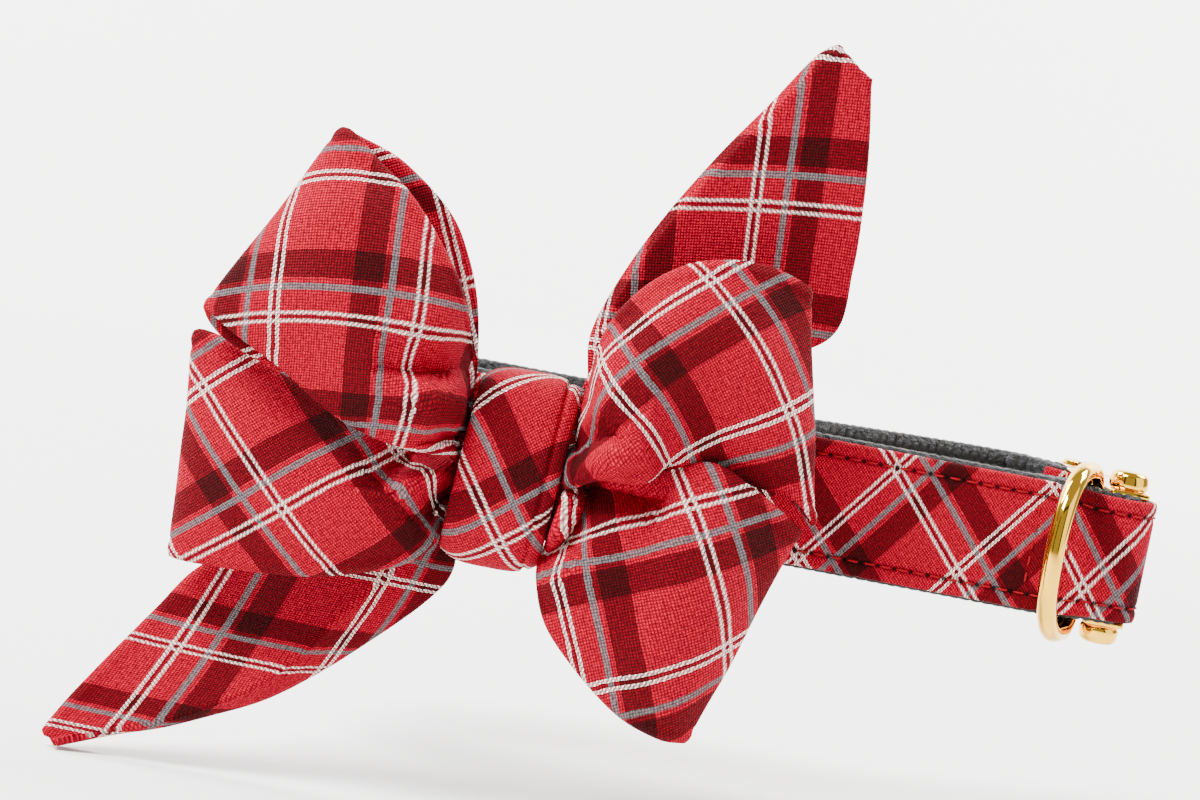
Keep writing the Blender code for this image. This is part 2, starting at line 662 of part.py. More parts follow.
def build_bow(collection):
    build_knot(collection)
    build_keeper(collection)
    build_loop("bow_loop_upper_left", UPPER_LEFT_ROWS, UPPER_LEFT_PLEATS, -1, 1, 0, collection)
    build_loop("bow_loop_lower_left", LOWER_LEFT_ROWS, LOWER_LEFT_PLEATS, -1, -1, 2, collection)
    build_loop("bow_loop_upper_right", UPPER_RIGHT_ROWS, UPPER_RIGHT_PLEATS, 1, 1, 0, collection)
    build_loop("bow_loop_lower_right", LOWER_RIGHT_ROWS, LOWER_RIGHT_PLEATS, 1, -1, 2, collection)
    build_tail("bow_tail_upper_right", UPPER_RIGHT_TAIL_ROWS, 1, 1, collection)
    build_tail("bow_tail_lower_left", LOWER_LEFT_TAIL_ROWS, -1, -1, collection)


def main():
    clear_scene()
    parts = make_collection("pet bow tie collar")
    helpers = make_collection("shaping helpers")
    build_strap(parts)
    build_buckle(parts, helpers)
    build_ring(parts)
    build_bow(parts)


main()
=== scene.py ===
"""Pet bow tie collar, dressed in tartan cloth, webbing, red stitching and gold plated metal."""
import math
import random

import bmesh
import bpy
import numpy as np
from bpy.props import FloatProperty, FloatVectorProperty, PointerProperty
from mathutils import Matrix, Vector


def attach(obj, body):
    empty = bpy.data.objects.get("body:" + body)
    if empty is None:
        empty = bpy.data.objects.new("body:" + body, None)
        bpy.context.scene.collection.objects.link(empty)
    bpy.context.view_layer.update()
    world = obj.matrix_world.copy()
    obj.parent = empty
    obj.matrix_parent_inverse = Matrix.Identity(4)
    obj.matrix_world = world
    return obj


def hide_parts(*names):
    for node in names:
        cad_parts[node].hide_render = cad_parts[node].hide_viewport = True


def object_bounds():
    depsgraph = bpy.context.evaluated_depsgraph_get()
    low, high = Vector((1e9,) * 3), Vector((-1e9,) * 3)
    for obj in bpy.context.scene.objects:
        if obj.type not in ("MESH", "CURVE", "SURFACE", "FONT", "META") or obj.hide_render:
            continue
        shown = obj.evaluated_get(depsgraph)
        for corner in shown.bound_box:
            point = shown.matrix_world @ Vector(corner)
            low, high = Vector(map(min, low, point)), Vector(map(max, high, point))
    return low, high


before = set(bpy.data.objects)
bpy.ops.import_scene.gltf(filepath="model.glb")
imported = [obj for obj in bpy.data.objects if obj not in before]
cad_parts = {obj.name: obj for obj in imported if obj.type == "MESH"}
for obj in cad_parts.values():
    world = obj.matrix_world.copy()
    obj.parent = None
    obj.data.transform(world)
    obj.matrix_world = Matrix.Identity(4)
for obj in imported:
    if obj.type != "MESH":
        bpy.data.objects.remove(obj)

CAD_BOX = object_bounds()

bl_info = {
    "name": "Pet bow tie collar",
    "version": (1, 0, 0),
    "blender": (4, 2, 0),
    "location": "View3D > Sidebar > Collar",
    "description": "Dresses the plain collar in tartan cloth, webbing, stitching and gold plate",
    "category": "Object",
}

# Strap, metres
STRAP_WIDTH = 0.0254
STRAP_WIDTH_AT_FOLD = 0.0240
NARROWING_LENGTH = 0.0080
WEBBING_THICK = 0.0024
COVER_MARGIN = 0.0005
COVER_THICK = 0.0012
CLEARANCE = 0.0003
FRONT_BAR_X = 0.0816
FRONT_BAR_Y = -0.0210
BUCKLE_SPAN = 0.0485
LEFT_TURN_X = -0.0730
LEFT_TURN_RADIUS = 0.0145
BACK_SWELL_START_X = -0.0100
BACK_SWELL_END_X = 0.0700
FOLD_LAP_LENGTH = 0.0030
FOLD_RISE_LENGTH = 0.0070
REAR_OPEN_LENGTH = 0.0050
COVER_END_LENGTH = 0.0080
COVER_SEAM_X = 0.0675
SEAM_STITCH_SHIFTS = (-0.0036, 0.0034)
THREAD_RADIUS = 0.00022

# Buckle and ring, metres and degrees
BAR_RADIUS = 0.0020
BOSS_RADIUS = 0.0039
SOCKET_BOSS_HEIGHT = 0.0038
TONGUE_BOSS_HEIGHT = 0.0010
CHEEK_THICK = 0.0012
CHEEK_LENGTH = 0.0076
BODY_THICK = 0.0088
TONGUE_BODY_LENGTH = 0.0092
SHOULDER_GAP = 0.0008
MOUTH_DEPTH = 0.0160
MOUTH_THICK = 0.0050
MOUTH_WIDTH = 0.0220
BODY_ROUNDING = 0.0010
RING_WIRE_RADIUS = 0.0019
RING_BAR_INSET = 0.0066
RING_HALF_HEIGHT = 0.0161
RING_REACH = 0.0197
RING_CORNER = 0.0042
RING_ARM_LENGTH = 0.0025
RING_FULLNESS = 0.9
RING_LEAN_DEG = 26.0
CHEEK_ROUNDING = 0.00036
BOSS_ROUNDING_SHARE = 0.40
BOSS_NARROWING = 0.96
SHADE_ANGLE_DEG = 35.0

# Bow, metres and degrees
CLOTH_THICK = 0.0016
KNOT_X = -0.0380
KNOT_Z = -0.0030
KNOT_FRONT_Y = -0.0545
KNOT_DEPTH = 0.0255
KNOT_HEIGHT = 0.0380
KNOT_WIDTH = 0.0172
KNOT_WALL = 0.0018
KNOT_SQUARENESS = 2.8
KNOT_EDGE_ROLL = 0.0013
KNOT_LEAN_DEG = 3.4
KNOT_EXIT_GAP = 0.0010
BOW_REACH = 0.0630
BOW_RISE = 0.0565
BOW_PUFF = 0.0120
TAIL_THICK = 0.0016
GATHER_WIDTH = 0.0112
GATHER_SPACING = 0.0032
GATHER_FRONT = 0.0042
TAIL_GATHER_LAYER = 4
TAIL_GATHER_CUT = 0.3
TAIL_GATHER_RIDGE = 0.8
BELLY_FULLNESS = 0.9
KEEPER_WIDTH = 0.0120
KEEPER_THICK = 0.0012
KEEPER_CORNER = 0.0010
KEEPER_RIBS = 12

# Small soft forms. Insets and reaches are metres from an edge or seam, and rolls, dips, swells and
# thicks are shares of the piece's thickness. The knot's seam is placed in half widths of the knot.
HEM_ROLL_INSET = 0.0009
HEM_ROLL_REACH = 0.0007
HEM_ROLL = 0.22
HEM_DIP_INSET = 0.0026
HEM_DIP_REACH = 0.0006
HEM_DIP = 0.20
TAIL_SEAM_THICK = 0.5
KNOT_SEAM_ACROSS = 0.78
KNOT_SEAM_REACH = 0.05
KNOT_SEAM_DIP = 0.7
COVER_HEM_INSET = 0.0010
COVER_HEM_REACH = 0.0008
COVER_HEM_SWELL = 0.20
COVER_SEAM_REACH = 0.0008
COVER_SEAM_DIP = 0.55
SEWN_REACH = 0.0006
SEWN_DIP = 0.44
HOLE_RELIEF = 0.45
WEBBING_GAP_THICK = 0.56
WEBBING_KNOB = 0.50
KEEPER_GAP_THICK = 0.72
# A stitch fills a share of its pitch. It rises and dives in thread radii.
STITCH_FILL = 0.80
STITCH_RISE = 0.15
STITCH_DIVE = 1.7
STITCH_END_THICK = 0.1
# Slow waves of handled cloth, metres and radians
LOOP_WAVE_HEIGHT = 0.00022
LOOP_WAVE_LENGTH = 0.017
TAIL_WAVE_HEIGHT = 0.00025
TAIL_WAVE_LENGTH = 0.020
WAVE_COUNT = 7
WAVE_PHASE_MOST = 6.28

# Places and lengths that follow from the values above
FRONT_STRAND_Y = FRONT_BAR_Y - BAR_RADIUS - CLEARANCE - WEBBING_THICK / 2
FOLD_RADIUS = BAR_RADIUS + CLEARANCE + WEBBING_THICK / 2
COVER_OFFSET = WEBBING_THICK / 2 + CLEARANCE + COVER_THICK / 2
FRONT_OPEN_LENGTH = RING_BAR_INSET + RING_WIRE_RADIUS + CLEARANCE
BUCKLE_BODY_REACH = FOLD_RADIUS + WEBBING_THICK / 2 + COVER_THICK + 2 * CLEARANCE
SOCKET_LENGTH = BUCKLE_SPAN - 2 * BUCKLE_BODY_REACH - TONGUE_BODY_LENGTH - SHOULDER_GAP
REAR_BAR_Y = FRONT_BAR_Y + BUCKLE_SPAN
BACK_STRAND_Y = REAR_BAR_Y + FOLD_RADIUS
LEFT_BACK_Y = FRONT_STRAND_Y + 2 * LEFT_TURN_RADIUS
GATHER_STATIONS = (CLEARANCE * 2, KNOT_WIDTH / 4, KNOT_WIDTH / 2 + KNOT_EXIT_GAP)

# The loops' rows run from the knot along the front layer, round the bend and back to the knot.
# out and up are shares of BOW_REACH and BOW_RISE from the knot's middle, back is a share of
# BOW_PUFF behind the knot's front, and belly is how far the row's middle stands off, out of the
# bow, in shares of BOW_PUFF.
#            upper edge            lower edge
#            out    up     back    out    up     back   belly
UPPER_LEFT_ROWS = (
    (-0.186, 0.365, 0.32, -0.182, 0.035, 0.25, 0.15),
    (-0.245, 0.590, -0.25, -0.290, 0.040, -0.20, 0.35),
    (-0.400, 0.800, -0.40, -0.480, 0.090, -0.30, 0.50),
    (-0.540, 0.925, -0.30, -0.690, 0.220, -0.30, 0.45),
    (-0.625, 0.990, -0.15, -0.845, 0.305, -0.20, 0.25),
    (-0.655, 0.993, 0.02, -0.950, 0.360, 0.05, 0.00),
    (-0.610, 0.980, 0.18, -0.885, 0.275, 0.26, -0.10),
    (-0.455, 0.915, 0.22, -0.660, 0.185, 0.26, -0.15),
    (-0.278, 0.745, 0.42, -0.380, 0.105, 0.32, -0.10),
    (-0.178, 0.460, 0.78, -0.190, 0.060, 0.58, 0.00),
)
LOWER_LEFT_ROWS = (
    (-0.185, 0.000, 0.75, -0.180, -0.265, 0.45, 0.15),
    (-0.300, 0.020, 0.60, -0.260, -0.345, 0.20, 0.35),
    (-0.520, 0.085, 0.52, -0.480, -0.425, 0.10, 0.45),
    (-0.760, 0.200, 0.52, -0.700, -0.460, 0.20, 0.35),
    (-0.930, 0.255, 0.60, -0.880, -0.475, 0.42, 0.15),
    (-0.988, 0.252, 0.74, -0.942, -0.475, 0.66, 0.00),
    (-0.915, 0.215, 0.98, -0.875, -0.468, 0.92, -0.10),
    (-0.700, 0.140, 1.12, -0.660, -0.420, 1.10, -0.15),
    (-0.440, 0.060, 1.18, -0.420, -0.360, 1.18, -0.10),
    (-0.205, -0.010, 1.18, -0.200, -0.270, 1.20, 0.00),
)
UPPER_RIGHT_ROWS = (
    (0.192, 0.363, 0.32, 0.182, 0.000, 0.25, 0.15),
    (0.210, 0.530, -0.15, 0.270, 0.062, -0.29, 0.35),
    (0.270, 0.650, -0.25, 0.385, 0.082, -0.40, 0.50),
    (0.357, 0.740, -0.25, 0.455, 0.150, -0.18, 0.55),
    (0.470, 0.800, -0.25, 0.580, 0.142, 0.10, 0.50),
    (0.630, 0.815, -0.15, 0.812, 0.108, 0.12, 0.35),
    (0.752, 0.772, 0.08, 0.902, 0.035, 0.27, 0.00),
    (0.635, 0.765, 0.25, 0.810, 0.110, 0.85, -0.10),
    (0.476, 0.700, 0.29, 0.620, 0.215, 1.02, -0.15),
    (0.317, 0.560, 0.46, 0.413, 0.190, 0.90, -0.10),
    (0.190, 0.380, 0.74, 0.206, 0.080, 0.66, 0.00),
)
LOWER_RIGHT_ROWS = (
    (0.180, -0.027, 0.58, 0.146, -0.310, 0.45, 0.15),
    (0.254, 0.035, 0.25, 0.190, -0.440, 0.20, 0.35),
    (0.349, 0.062, 0.16, 0.286, -0.558, 0.05, 0.40),
    (0.450, 0.095, 0.06, 0.381, -0.646, 0.04, 0.45),
    (0.571, 0.159, -0.25, 0.476, -0.711, 0.08, 0.50),
    (0.714, 0.097, -0.21, 0.579, -0.752, 0.18, 0.35),
    (0.812, 0.032, 0.00, 0.635, -0.760, 0.33, 0.15),
    (0.862, -0.011, 0.29, 0.657, -0.760, 0.50, 0.00),
    (0.790, 0.000, 0.62, 0.587, -0.755, 0.75, -0.10),
    (0.603, 0.027, 0.92, 0.420, -0.690, 0.98, -0.15),
    (0.397, 0.010, 1.04, 0.270, -0.540, 1.08, -0.10),
    (0.205, -0.040, 1.15, 0.185, -0.350, 1.18, 0.00),
)
# A tail's rows run from the knot to its tip. The ridge is the seamed edge that faces forward.
#            cut edge              ridge                  seamed edge
#            out    up     back    out    up     back     out    up     back
UPPER_RIGHT_TAIL_ROWS = (
    (0.190, 0.130, 1.50, 0.190, 0.270, 1.42, 0.182, 0.330, 1.60),
    (0.400, 0.330, 1.42, 0.188, 0.480, 1.25, 0.170, 0.490, 1.48),
    (0.650, 0.500, 1.38, 0.242, 0.690, 1.12, 0.225, 0.700, 1.34),
    (0.860, 0.640, 1.36, 0.330, 0.905, 1.00, 0.315, 0.915, 1.22),
    (0.880, 0.870, 1.18, 0.444, 1.115, 0.90, 0.432, 1.125, 1.12),
    (0.870, 1.090, 0.92, 0.564, 1.320, 0.72, 0.554, 1.330, 0.94),
    (0.845, 1.310, 0.62, 0.670, 1.500, 0.52, 0.662, 1.508, 0.74),
    (0.815, 1.475, 0.40, 0.718, 1.550, 0.38, 0.714, 1.556, 0.60),
)
LOWER_LEFT_TAIL_ROWS = (
    (-0.190, -0.080, 1.52, -0.174, -0.290, 1.50, -0.130, -0.375, 1.68),
    (-0.420, -0.270, 1.54, -0.265, -0.390, 1.42, -0.190, -0.500, 1.65),
    (-0.700, -0.410, 1.50, -0.395, -0.555, 1.10, -0.350, -0.680, 1.50),
    (-0.870, -0.540, 1.35, -0.515, -0.745, 0.92, -0.485, -0.815, 1.30),
    (-0.970, -0.700, 1.20, -0.660, -0.900, 0.84, -0.648, -0.940, 1.14),
    (-1.080, -0.880, 1.00, -0.860, -1.030, 0.76, -0.855, -1.055, 1.02),
    (-1.170, -1.035, 0.82, -1.050, -1.115, 0.68, -1.050, -1.135, 0.92),
    (-1.225, -1.145, 0.66, -1.185, -1.172, 0.60, -1.185, -1.184, 0.82),
)
# A loop's rows, its side and level at the knot, its layer there, and the row at its bend
LOOPS = {
    "bow_loop_upper_left": (UPPER_LEFT_ROWS, -1, 1, 0, 5),
    "bow_loop_lower_left": (LOWER_LEFT_ROWS, -1, -1, 2, 5),
    "bow_loop_upper_right": (UPPER_RIGHT_ROWS, 1, 1, 0, 6),
    "bow_loop_lower_right": (LOWER_RIGHT_ROWS, 1, -1, 2, 7),
}
# A tail's rows, and its side and level at the knot
TAILS = {
    "bow_tail_upper_right": (UPPER_RIGHT_TAIL_ROWS, 1, 1),
    "bow_tail_lower_left": (LOWER_LEFT_TAIL_ROWS, -1, -1),
}
# Creases and, below zero, raised folds of the front layer: the line each runs on, from where it is
# deepest, as (share from the knot to the bend, share from the upper edge to the lower), then its
# depth and how far it reaches on its one side and its other, in metres.
CREASES = {
    "bow_loop_upper_left": (
        (((0.06, 0.16), (0.15, 0.20), (0.24, 0.36), (0.31, 0.53), (0.40, 0.64), (0.48, 0.70)),
         0.0064, 0.0060, 0.0015),
        (((0.06, 0.36), (0.20, 0.54), (0.31, 0.69), (0.38, 0.78)), -0.0031, 0.0022, 0.0050),
        (((0.10, 0.74), (0.15, 0.83), (0.22, 0.88), (0.27, 0.93)), 0.0036, 0.0024, 0.0010),
    ),
    "bow_loop_lower_left": (
        (((0.34, 0.15), (0.37, 0.26), (0.40, 0.36), (0.42, 0.44)), 0.0028, 0.0042, 0.0014),
        (((0.04, 0.10), (0.16, 0.13), (0.29, 0.19), (0.35, 0.28), (0.39, 0.38)),
         -0.0036, 0.0018, 0.0038),
        (((0.05, 0.40), (0.14, 0.46), (0.19, 0.52), (0.28, 0.58)), 0.0050, 0.0028, 0.0011),
        (((0.04, 0.92), (0.12, 0.80), (0.22, 0.66), (0.29, 0.62)), 0.0039, 0.0012, 0.0026),
    ),
    "bow_loop_upper_right": (
        (((0.05, 0.46), (0.10, 0.58), (0.16, 0.69), (0.28, 0.74), (0.36, 0.70)),
         0.0056, 0.0046, 0.0014),
        (((0.02, 0.11), (0.10, 0.24), (0.18, 0.33), (0.30, 0.35)), 0.0022, 0.0020, 0.0024),
        (((0.05, 0.84), (0.16, 0.91), (0.29, 0.92), (0.38, 0.86), (0.46, 0.87)),
         -0.0028, 0.0034, 0.0016),
    ),
    "bow_loop_lower_right": (
        (((0.19, 0.02), (0.22, 0.10), (0.24, 0.20), (0.23, 0.37), (0.18, 0.57), (0.12, 0.77),
          (0.06, 0.92)), 0.0059, 0.0042, 0.0012),
        (((0.12, 0.05), (0.14, 0.20), (0.12, 0.40), (0.08, 0.60)), -0.0036, 0.0026, 0.0026),
        (((0.06, 0.97), (0.16, 0.86), (0.24, 0.66), (0.27, 0.48)), -0.0022, 0.0018, 0.0022),
        (((0.26, 0.05), (0.36, 0.08), (0.44, 0.10), (0.51, 0.12), (0.54, 0.18)),
         0.0031, 0.0014, 0.0028),
    ),
}
# A crease starts this far from the knot, fades over its last stretch, and stops before the bend.
CREASE_START_SHARE = 0.10
CREASE_FADE_SHARE = 0.35
CREASE_FADE_POWER = 0.7
CREASE_END_SHARE = 0.9

# Surfaces: how finely they are divided, and the steps of their plan lines in metres
STEPS = 12
LOOP_COLUMNS = 81
TAIL_FRONT_COLUMNS = 30
TAIL_TURN_COLUMNS = 6
KNOT_ROWS = 144
KNOT_COLUMNS = 65
COVER_COLUMNS = 47
WEBBING_COLUMNS = 45
KEEPER_COLUMNS = 49
STRAP_STEP = 0.00055
KEEPER_STEP = 0.0004
STITCH_SIDES = 6
STITCH_RINGS = 5
COARSE = 3
FLATTEN_ROUNDS = 60
UV_GROWTH_MOST = 1.2
EXIT_ROW = (len(GATHER_STATIONS) - 1) * STEPS

# Studio, metres and degrees
CAMERA_AT = (-0.0240, -0.4803, 0.0452)
CAMERA_LENS = 70.0
CAMERA_ELEVATION_DEG = 4.2
CAMERA_ROLL_DEG = 10.8
# Black cards beside and above the camera, which the polished metal mirrors as dark streaks:
#    name, width, height, place
CARDS = (
    ("black_card_left", 0.25, 1.10, (-0.75, -0.95, 0.10)),
    ("black_card_right", 0.22, 1.00, (0.55, -1.10, 0.15)),
    ("black_card_high", 0.90, 0.16, (0.10, -0.95, 0.75)),
)
#    name, watts, size in metres, place, what it is aimed at
LAMPS = (
    ("key softbox", 31.0, 0.35, (-0.50, -0.45, 0.75), (0, 0, 0)),
    ("fill softbox", 3.5, 0.70, (0.70, -0.45, 0.25), (0, 0, 0)),
    ("backdrop lamp left", 215.0, 1.2, (-1.6, 0.6, 1.8), (-0.5, 1.9, 0.1)),
    ("backdrop lamp right", 215.0, 1.2, (1.6, 0.6, 1.8), (0.5, 1.9, 0.1)),
)
WORLD_STRENGTH = 0.55
FLOOR_SIZE = 16.0
FLOOR_Y = -6.2
WALL_HEIGHT = 4.0
COVE_RADIUS = 1.2


def linear(hex_colour):
    """An sRGB hex colour as linear red, green, blue."""
    values = []
    for k in (1, 3, 5):
        share = int(hex_colour[k:k + 2], 16) / 255
        values.append(share / 12.92 if share <= 0.04045 else ((share + 0.055) / 1.055) ** 2.4)
    return values


class ClothSettings(bpy.types.PropertyGroup):
    """Sizes and colours of the woven tartan."""
    repeat: FloatProperty(name="Plaid repeat", description="Distance after which the plaid repeats",
                          default=0.0262, min=0.01, max=0.08, unit="LENGTH")
    thread: FloatProperty(name="Thread spacing", description="Distance between two threads",
                          default=0.00052, min=0.0002, max=0.003, unit="LENGTH")
    ground: FloatVectorProperty(name="Ground red", description="Colour of the main yarn",
                                default=linear("#93001D"), subtype="COLOR", size=3, min=0, max=1)
    dark: FloatVectorProperty(name="Dark band",
                              description="What a dark band leaves of the ground",
                              default=linear("#9C868C"), subtype="COLOR", size=3, min=0, max=1)
    grey: FloatVectorProperty(name="Grey line", description="Colour of the grey yarn",
                              default=linear("#5D5A5C"), subtype="COLOR", size=3, min=0, max=1)
    white: FloatVectorProperty(name="White line", description="Colour of the white yarn",
                               default=linear("#F0D8CE"), subtype="COLOR", size=3, min=0, max=1)


class StrapSettings(bpy.types.PropertyGroup):
    """Sizes and colours of the webbing and its stitching."""
    stitch: FloatProperty(name="Stitch pitch", description="Distance from one stitch to the next",
                          default=0.0033, min=0.001, max=0.01, unit="LENGTH")
    inset: FloatProperty(name="Stitch inset",
                         description="Distance from the cover's edge to the seam",
                         default=0.0024, min=0.001, max=0.008, unit="LENGTH")
    knob: FloatProperty(name="Webbing knob",
                        description="Distance between two knobs of the webbing",
                        default=0.0021, min=0.0005, max=0.005, unit="LENGTH")
    nylon: FloatVectorProperty(name="Webbing", description="Colour of the nylon",
                               default=linear("#101012"), subtype="COLOR", size=3, min=0, max=1)
    cotton: FloatVectorProperty(name="Stitching", description="Colour of the sewing thread",
                                default=linear("#7C000E"), subtype="COLOR", size=3, min=0, max=1)


class MetalSettings(bpy.types.PropertyGroup):
    """Finish of the plated metal."""
    gold: FloatVectorProperty(name="Gold", description="Colour of the plating",
                              default=linear("#EBB636"), subtype="COLOR", size=3, min=0, max=1)
    roughness: FloatProperty(name="Roughness", description="How dull the polish is",
                             default=0.07, min=0, max=1)


# Plans and curves

def smooth_step(t):
    t = min(max(t, 0.0), 1.0)
    return t * t * (3 - 2 * t)


def hump(distance, reach):
    """One at no distance, and almost nothing at twice the reach."""
    return np.exp(-(distance / reach) ** 2)


def way_along(points):
    """The way from the first point to each point of a line."""
    return np.concatenate(([0], np.cumsum(np.linalg.norm(np.diff(points, axis=0), axis=1))))


def smooth_through(rows, steps):
    """Rows of a smooth curve through the given ones, with steps between each two."""
    rows = np.array(rows, float)
    padded = np.vstack((rows[:1], rows, rows[-1:]))
    result = []
    for i in range(len(rows) - 1):
        a, b, c, d = padded[i:i + 4]
        for k in range(steps):
            t = k / steps
            bend = (2 * a - 5 * b + 4 * c - d) * t * t
            twist = (3 * b - a - 3 * c + d) * t * t * t
            result.append(0.5 * (2 * b + (c - a) * t + bend + twist))
    result.append(rows[-1])
    return np.array(result)


def arc(centre_x, centre_y, radius, start_deg, end_deg, steps):
    points = []
    for k in range(steps + 1):
        angle = math.radians(start_deg + (end_deg - start_deg) * k / steps)
        points.append((centre_x + radius * math.cos(angle), centre_y + radius * math.sin(angle)))
    return points


def folded_end(bar_y, side, open_length):
    """Plan points of the folded layer, from its end to the bar; side is -1 in front."""
    lap_y = bar_y + side * (FOLD_RADIUS - WEBBING_THICK - 2 * CLEARANCE)
    open_y = bar_y - side * FOLD_RADIUS
    rise_x = FRONT_BAR_X - open_length - FOLD_RISE_LENGTH
    points = [(rise_x - FOLD_LAP_LENGTH, lap_y)]
    steps = 12
    for k in range(steps + 1):
        t = k / steps
        points.append((rise_x + FOLD_RISE_LENGTH * t, lap_y + (open_y - lap_y) * smooth_step(t)))
    points.append((FRONT_BAR_X - open_length / 2, open_y))
    return points


def strap_plan():
    """Plan points of the webbing's middle, from its front end round the neck to its rear end."""
    points = folded_end(FRONT_BAR_Y, -1, FRONT_OPEN_LENGTH)
    points += arc(FRONT_BAR_X, FRONT_BAR_Y, FOLD_RADIUS, 90, -90, 30)
    straight = 6
    for k in range(1, straight):
        points.append((FRONT_BAR_X + (LEFT_TURN_X - FRONT_BAR_X) * k / straight, FRONT_STRAND_Y))
    turn_y = FRONT_STRAND_Y + LEFT_TURN_RADIUS
    points += arc(LEFT_TURN_X, turn_y, LEFT_TURN_RADIUS, -90, -270, 30)
    back = 30
    for k in range(1, back):
        x = LEFT_TURN_X + (FRONT_BAR_X - LEFT_TURN_X) * k / back
        share = smooth_step((x - BACK_SWELL_START_X) / (BACK_SWELL_END_X - BACK_SWELL_START_X))
        points.append((x, LEFT_BACK_Y + (BACK_STRAND_Y - LEFT_BACK_Y) * share))
    points += arc(FRONT_BAR_X, REAR_BAR_Y, FOLD_RADIUS, 90, -90, 30)
    points += reversed(folded_end(REAR_BAR_Y, 1, REAR_OPEN_LENGTH))
    return points


def even_plan(points, spacing):
    """The plan line in even steps, and the way along it at each step."""
    points = np.array(points)
    way = way_along(points)
    places = np.linspace(0, way[-1], int(round(way[-1] / spacing)) + 1)
    line = np.stack([np.interp(places, way, points[:, k]) for k in (0, 1)], axis=1)
    return line, places


def left_of(line):
    """The unit direction to the left of the plan line at each of its points."""
    along = np.gradient(line, axis=0)
    along /= np.linalg.norm(along, axis=1)[:, None]
    return np.stack((-along[:, 1], along[:, 0]), axis=1)


def width_at(x, full):
    """The strap narrows a little before it passes between a buckle's cheeks."""
    full_at = FRONT_BAR_X - CHEEK_LENGTH / 2 - NARROWING_LENGTH
    share = smooth_step((x - full_at) / (NARROWING_LENGTH - CLEARANCE * 2))
    return full - share * (STRAP_WIDTH - STRAP_WIDTH_AT_FOLD)


# Sheets of cloth

def flattened(middle):
    """Where each point of a sheet lies once the cloth is spread flat, as stiffly as it goes."""
    rows, columns = middle.shape[:2]
    points = middle.reshape(-1, 3)
    index = np.arange(rows * columns).reshape(rows, columns)
    a, b, c, d = (index[:-1, :-1], index[1:, :-1], index[1:, 1:], index[:-1, 1:])
    corners = np.concatenate((np.stack((a, b, c), -1).reshape(-1, 3),
                              np.stack((a, c, d), -1).reshape(-1, 3)))
    edge_one = points[corners[:, 1]] - points[corners[:, 0]]
    edge_two = points[corners[:, 2]] - points[corners[:, 0]]
    length = np.linalg.norm(edge_one, axis=1)
    first = edge_one / length[:, None]
    run = (edge_two * first).sum(1)
    rise = np.linalg.norm(edge_two - first * run[:, None], axis=1)
    local = np.zeros((len(corners), 3, 2))
    local[:, 1, 0] = length
    local[:, 2, 0] = run
    local[:, 2, 1] = rise
    pairs = ((0, 1), (1, 2), (2, 0))
    stiffness = np.zeros((len(points), len(points)))
    for i, j in pairs:
        np.add.at(stiffness, (corners[:, i], corners[:, i]), 1)
        np.add.at(stiffness, (corners[:, j], corners[:, j]), 1)
        np.add.at(stiffness, (corners[:, i], corners[:, j]), -1)
        np.add.at(stiffness, (corners[:, j], corners[:, i]), -1)
    stiffness[0, 0] += 1
    solve = np.linalg.inv(stiffness)
    way = np.linalg.norm(np.diff(middle, axis=0), axis=2).mean(1)
    way = np.concatenate(([0], np.cumsum(way)))
    span = np.linalg.norm(np.diff(middle, axis=1), axis=2)
    reach = np.concatenate((np.zeros((rows, 1)), np.cumsum(span, axis=1)), axis=1)
    reach -= reach[:, -1:] / 2
    flat = np.stack((np.broadcast_to(way[:, None], reach.shape), reach), -1).reshape(-1, 2)
    for _ in range(FLATTEN_ROUNDS):
        turn_c = np.zeros(len(corners))
        turn_s = np.zeros(len(corners))
        for i, j in pairs:
            here = flat[corners[:, i]] - flat[corners[:, j]]
            there = local[:, i] - local[:, j]
            turn_c += (here * there).sum(1)
            turn_s += here[:, 1] * there[:, 0] - here[:, 0] * there[:, 1]
        size = np.hypot(turn_c, turn_s)
        turn_c, turn_s = turn_c / size, turn_s / size
        pull = np.zeros_like(flat)
        for i, j in pairs:
            there = local[:, i] - local[:, j]
            turned = np.stack((turn_c * there[:, 0] - turn_s * there[:, 1],
                               turn_s * there[:, 0] + turn_c * there[:, 1]), -1)
            np.add.at(pull, corners[:, i], turned)
            np.add.at(pull, corners[:, j], -turned)
        flat = solve @ pull
    return flat.reshape(rows, columns, 2)


def refined(coarse, count):
    """Values that are known at every COARSE-th place of the first axis, at all of its places."""
    places = np.arange(len(coarse)) * COARSE
    fine = np.empty((count, *coarse.shape[1:]))
    for k in np.ndindex(coarse.shape[1:]):
        series = (slice(None), *k)
        fine[series] = np.interp(np.arange(count), places, coarse[series])
    return fine


def spread_flat(middle, hidden_rows):
    """The flat places of a whole sheet, worked out on COARSE rows and columns of what shows."""
    last = len(middle) - 1 - hidden_rows[1]
    shown = middle[hidden_rows[0]:last + 1]
    rows, columns = shown.shape[:2]
    flat = flattened(shown[::COARSE, ::COARSE])
    flat = refined(flat.swapaxes(0, 1), columns).swapaxes(0, 1)
    flat = refined(flat, rows)
    centre = columns // 2
    axis = flat[rows // 4, centre] - flat[0, centre]
    axis /= np.linalg.norm(axis)
    flat = flat - flat[0, centre]
    flat = np.stack((flat @ axis, flat @ np.array((-axis[1], axis[0]))), -1)
    start = 2 * flat[0] - flat[1:hidden_rows[0] + 1][::-1] if hidden_rows[0] else flat[:0]
    end = 2 * flat[-1] - flat[-1 - hidden_rows[1]:-1][::-1] if hidden_rows[1] else flat[:0]
    return np.concatenate((start, flat, end))


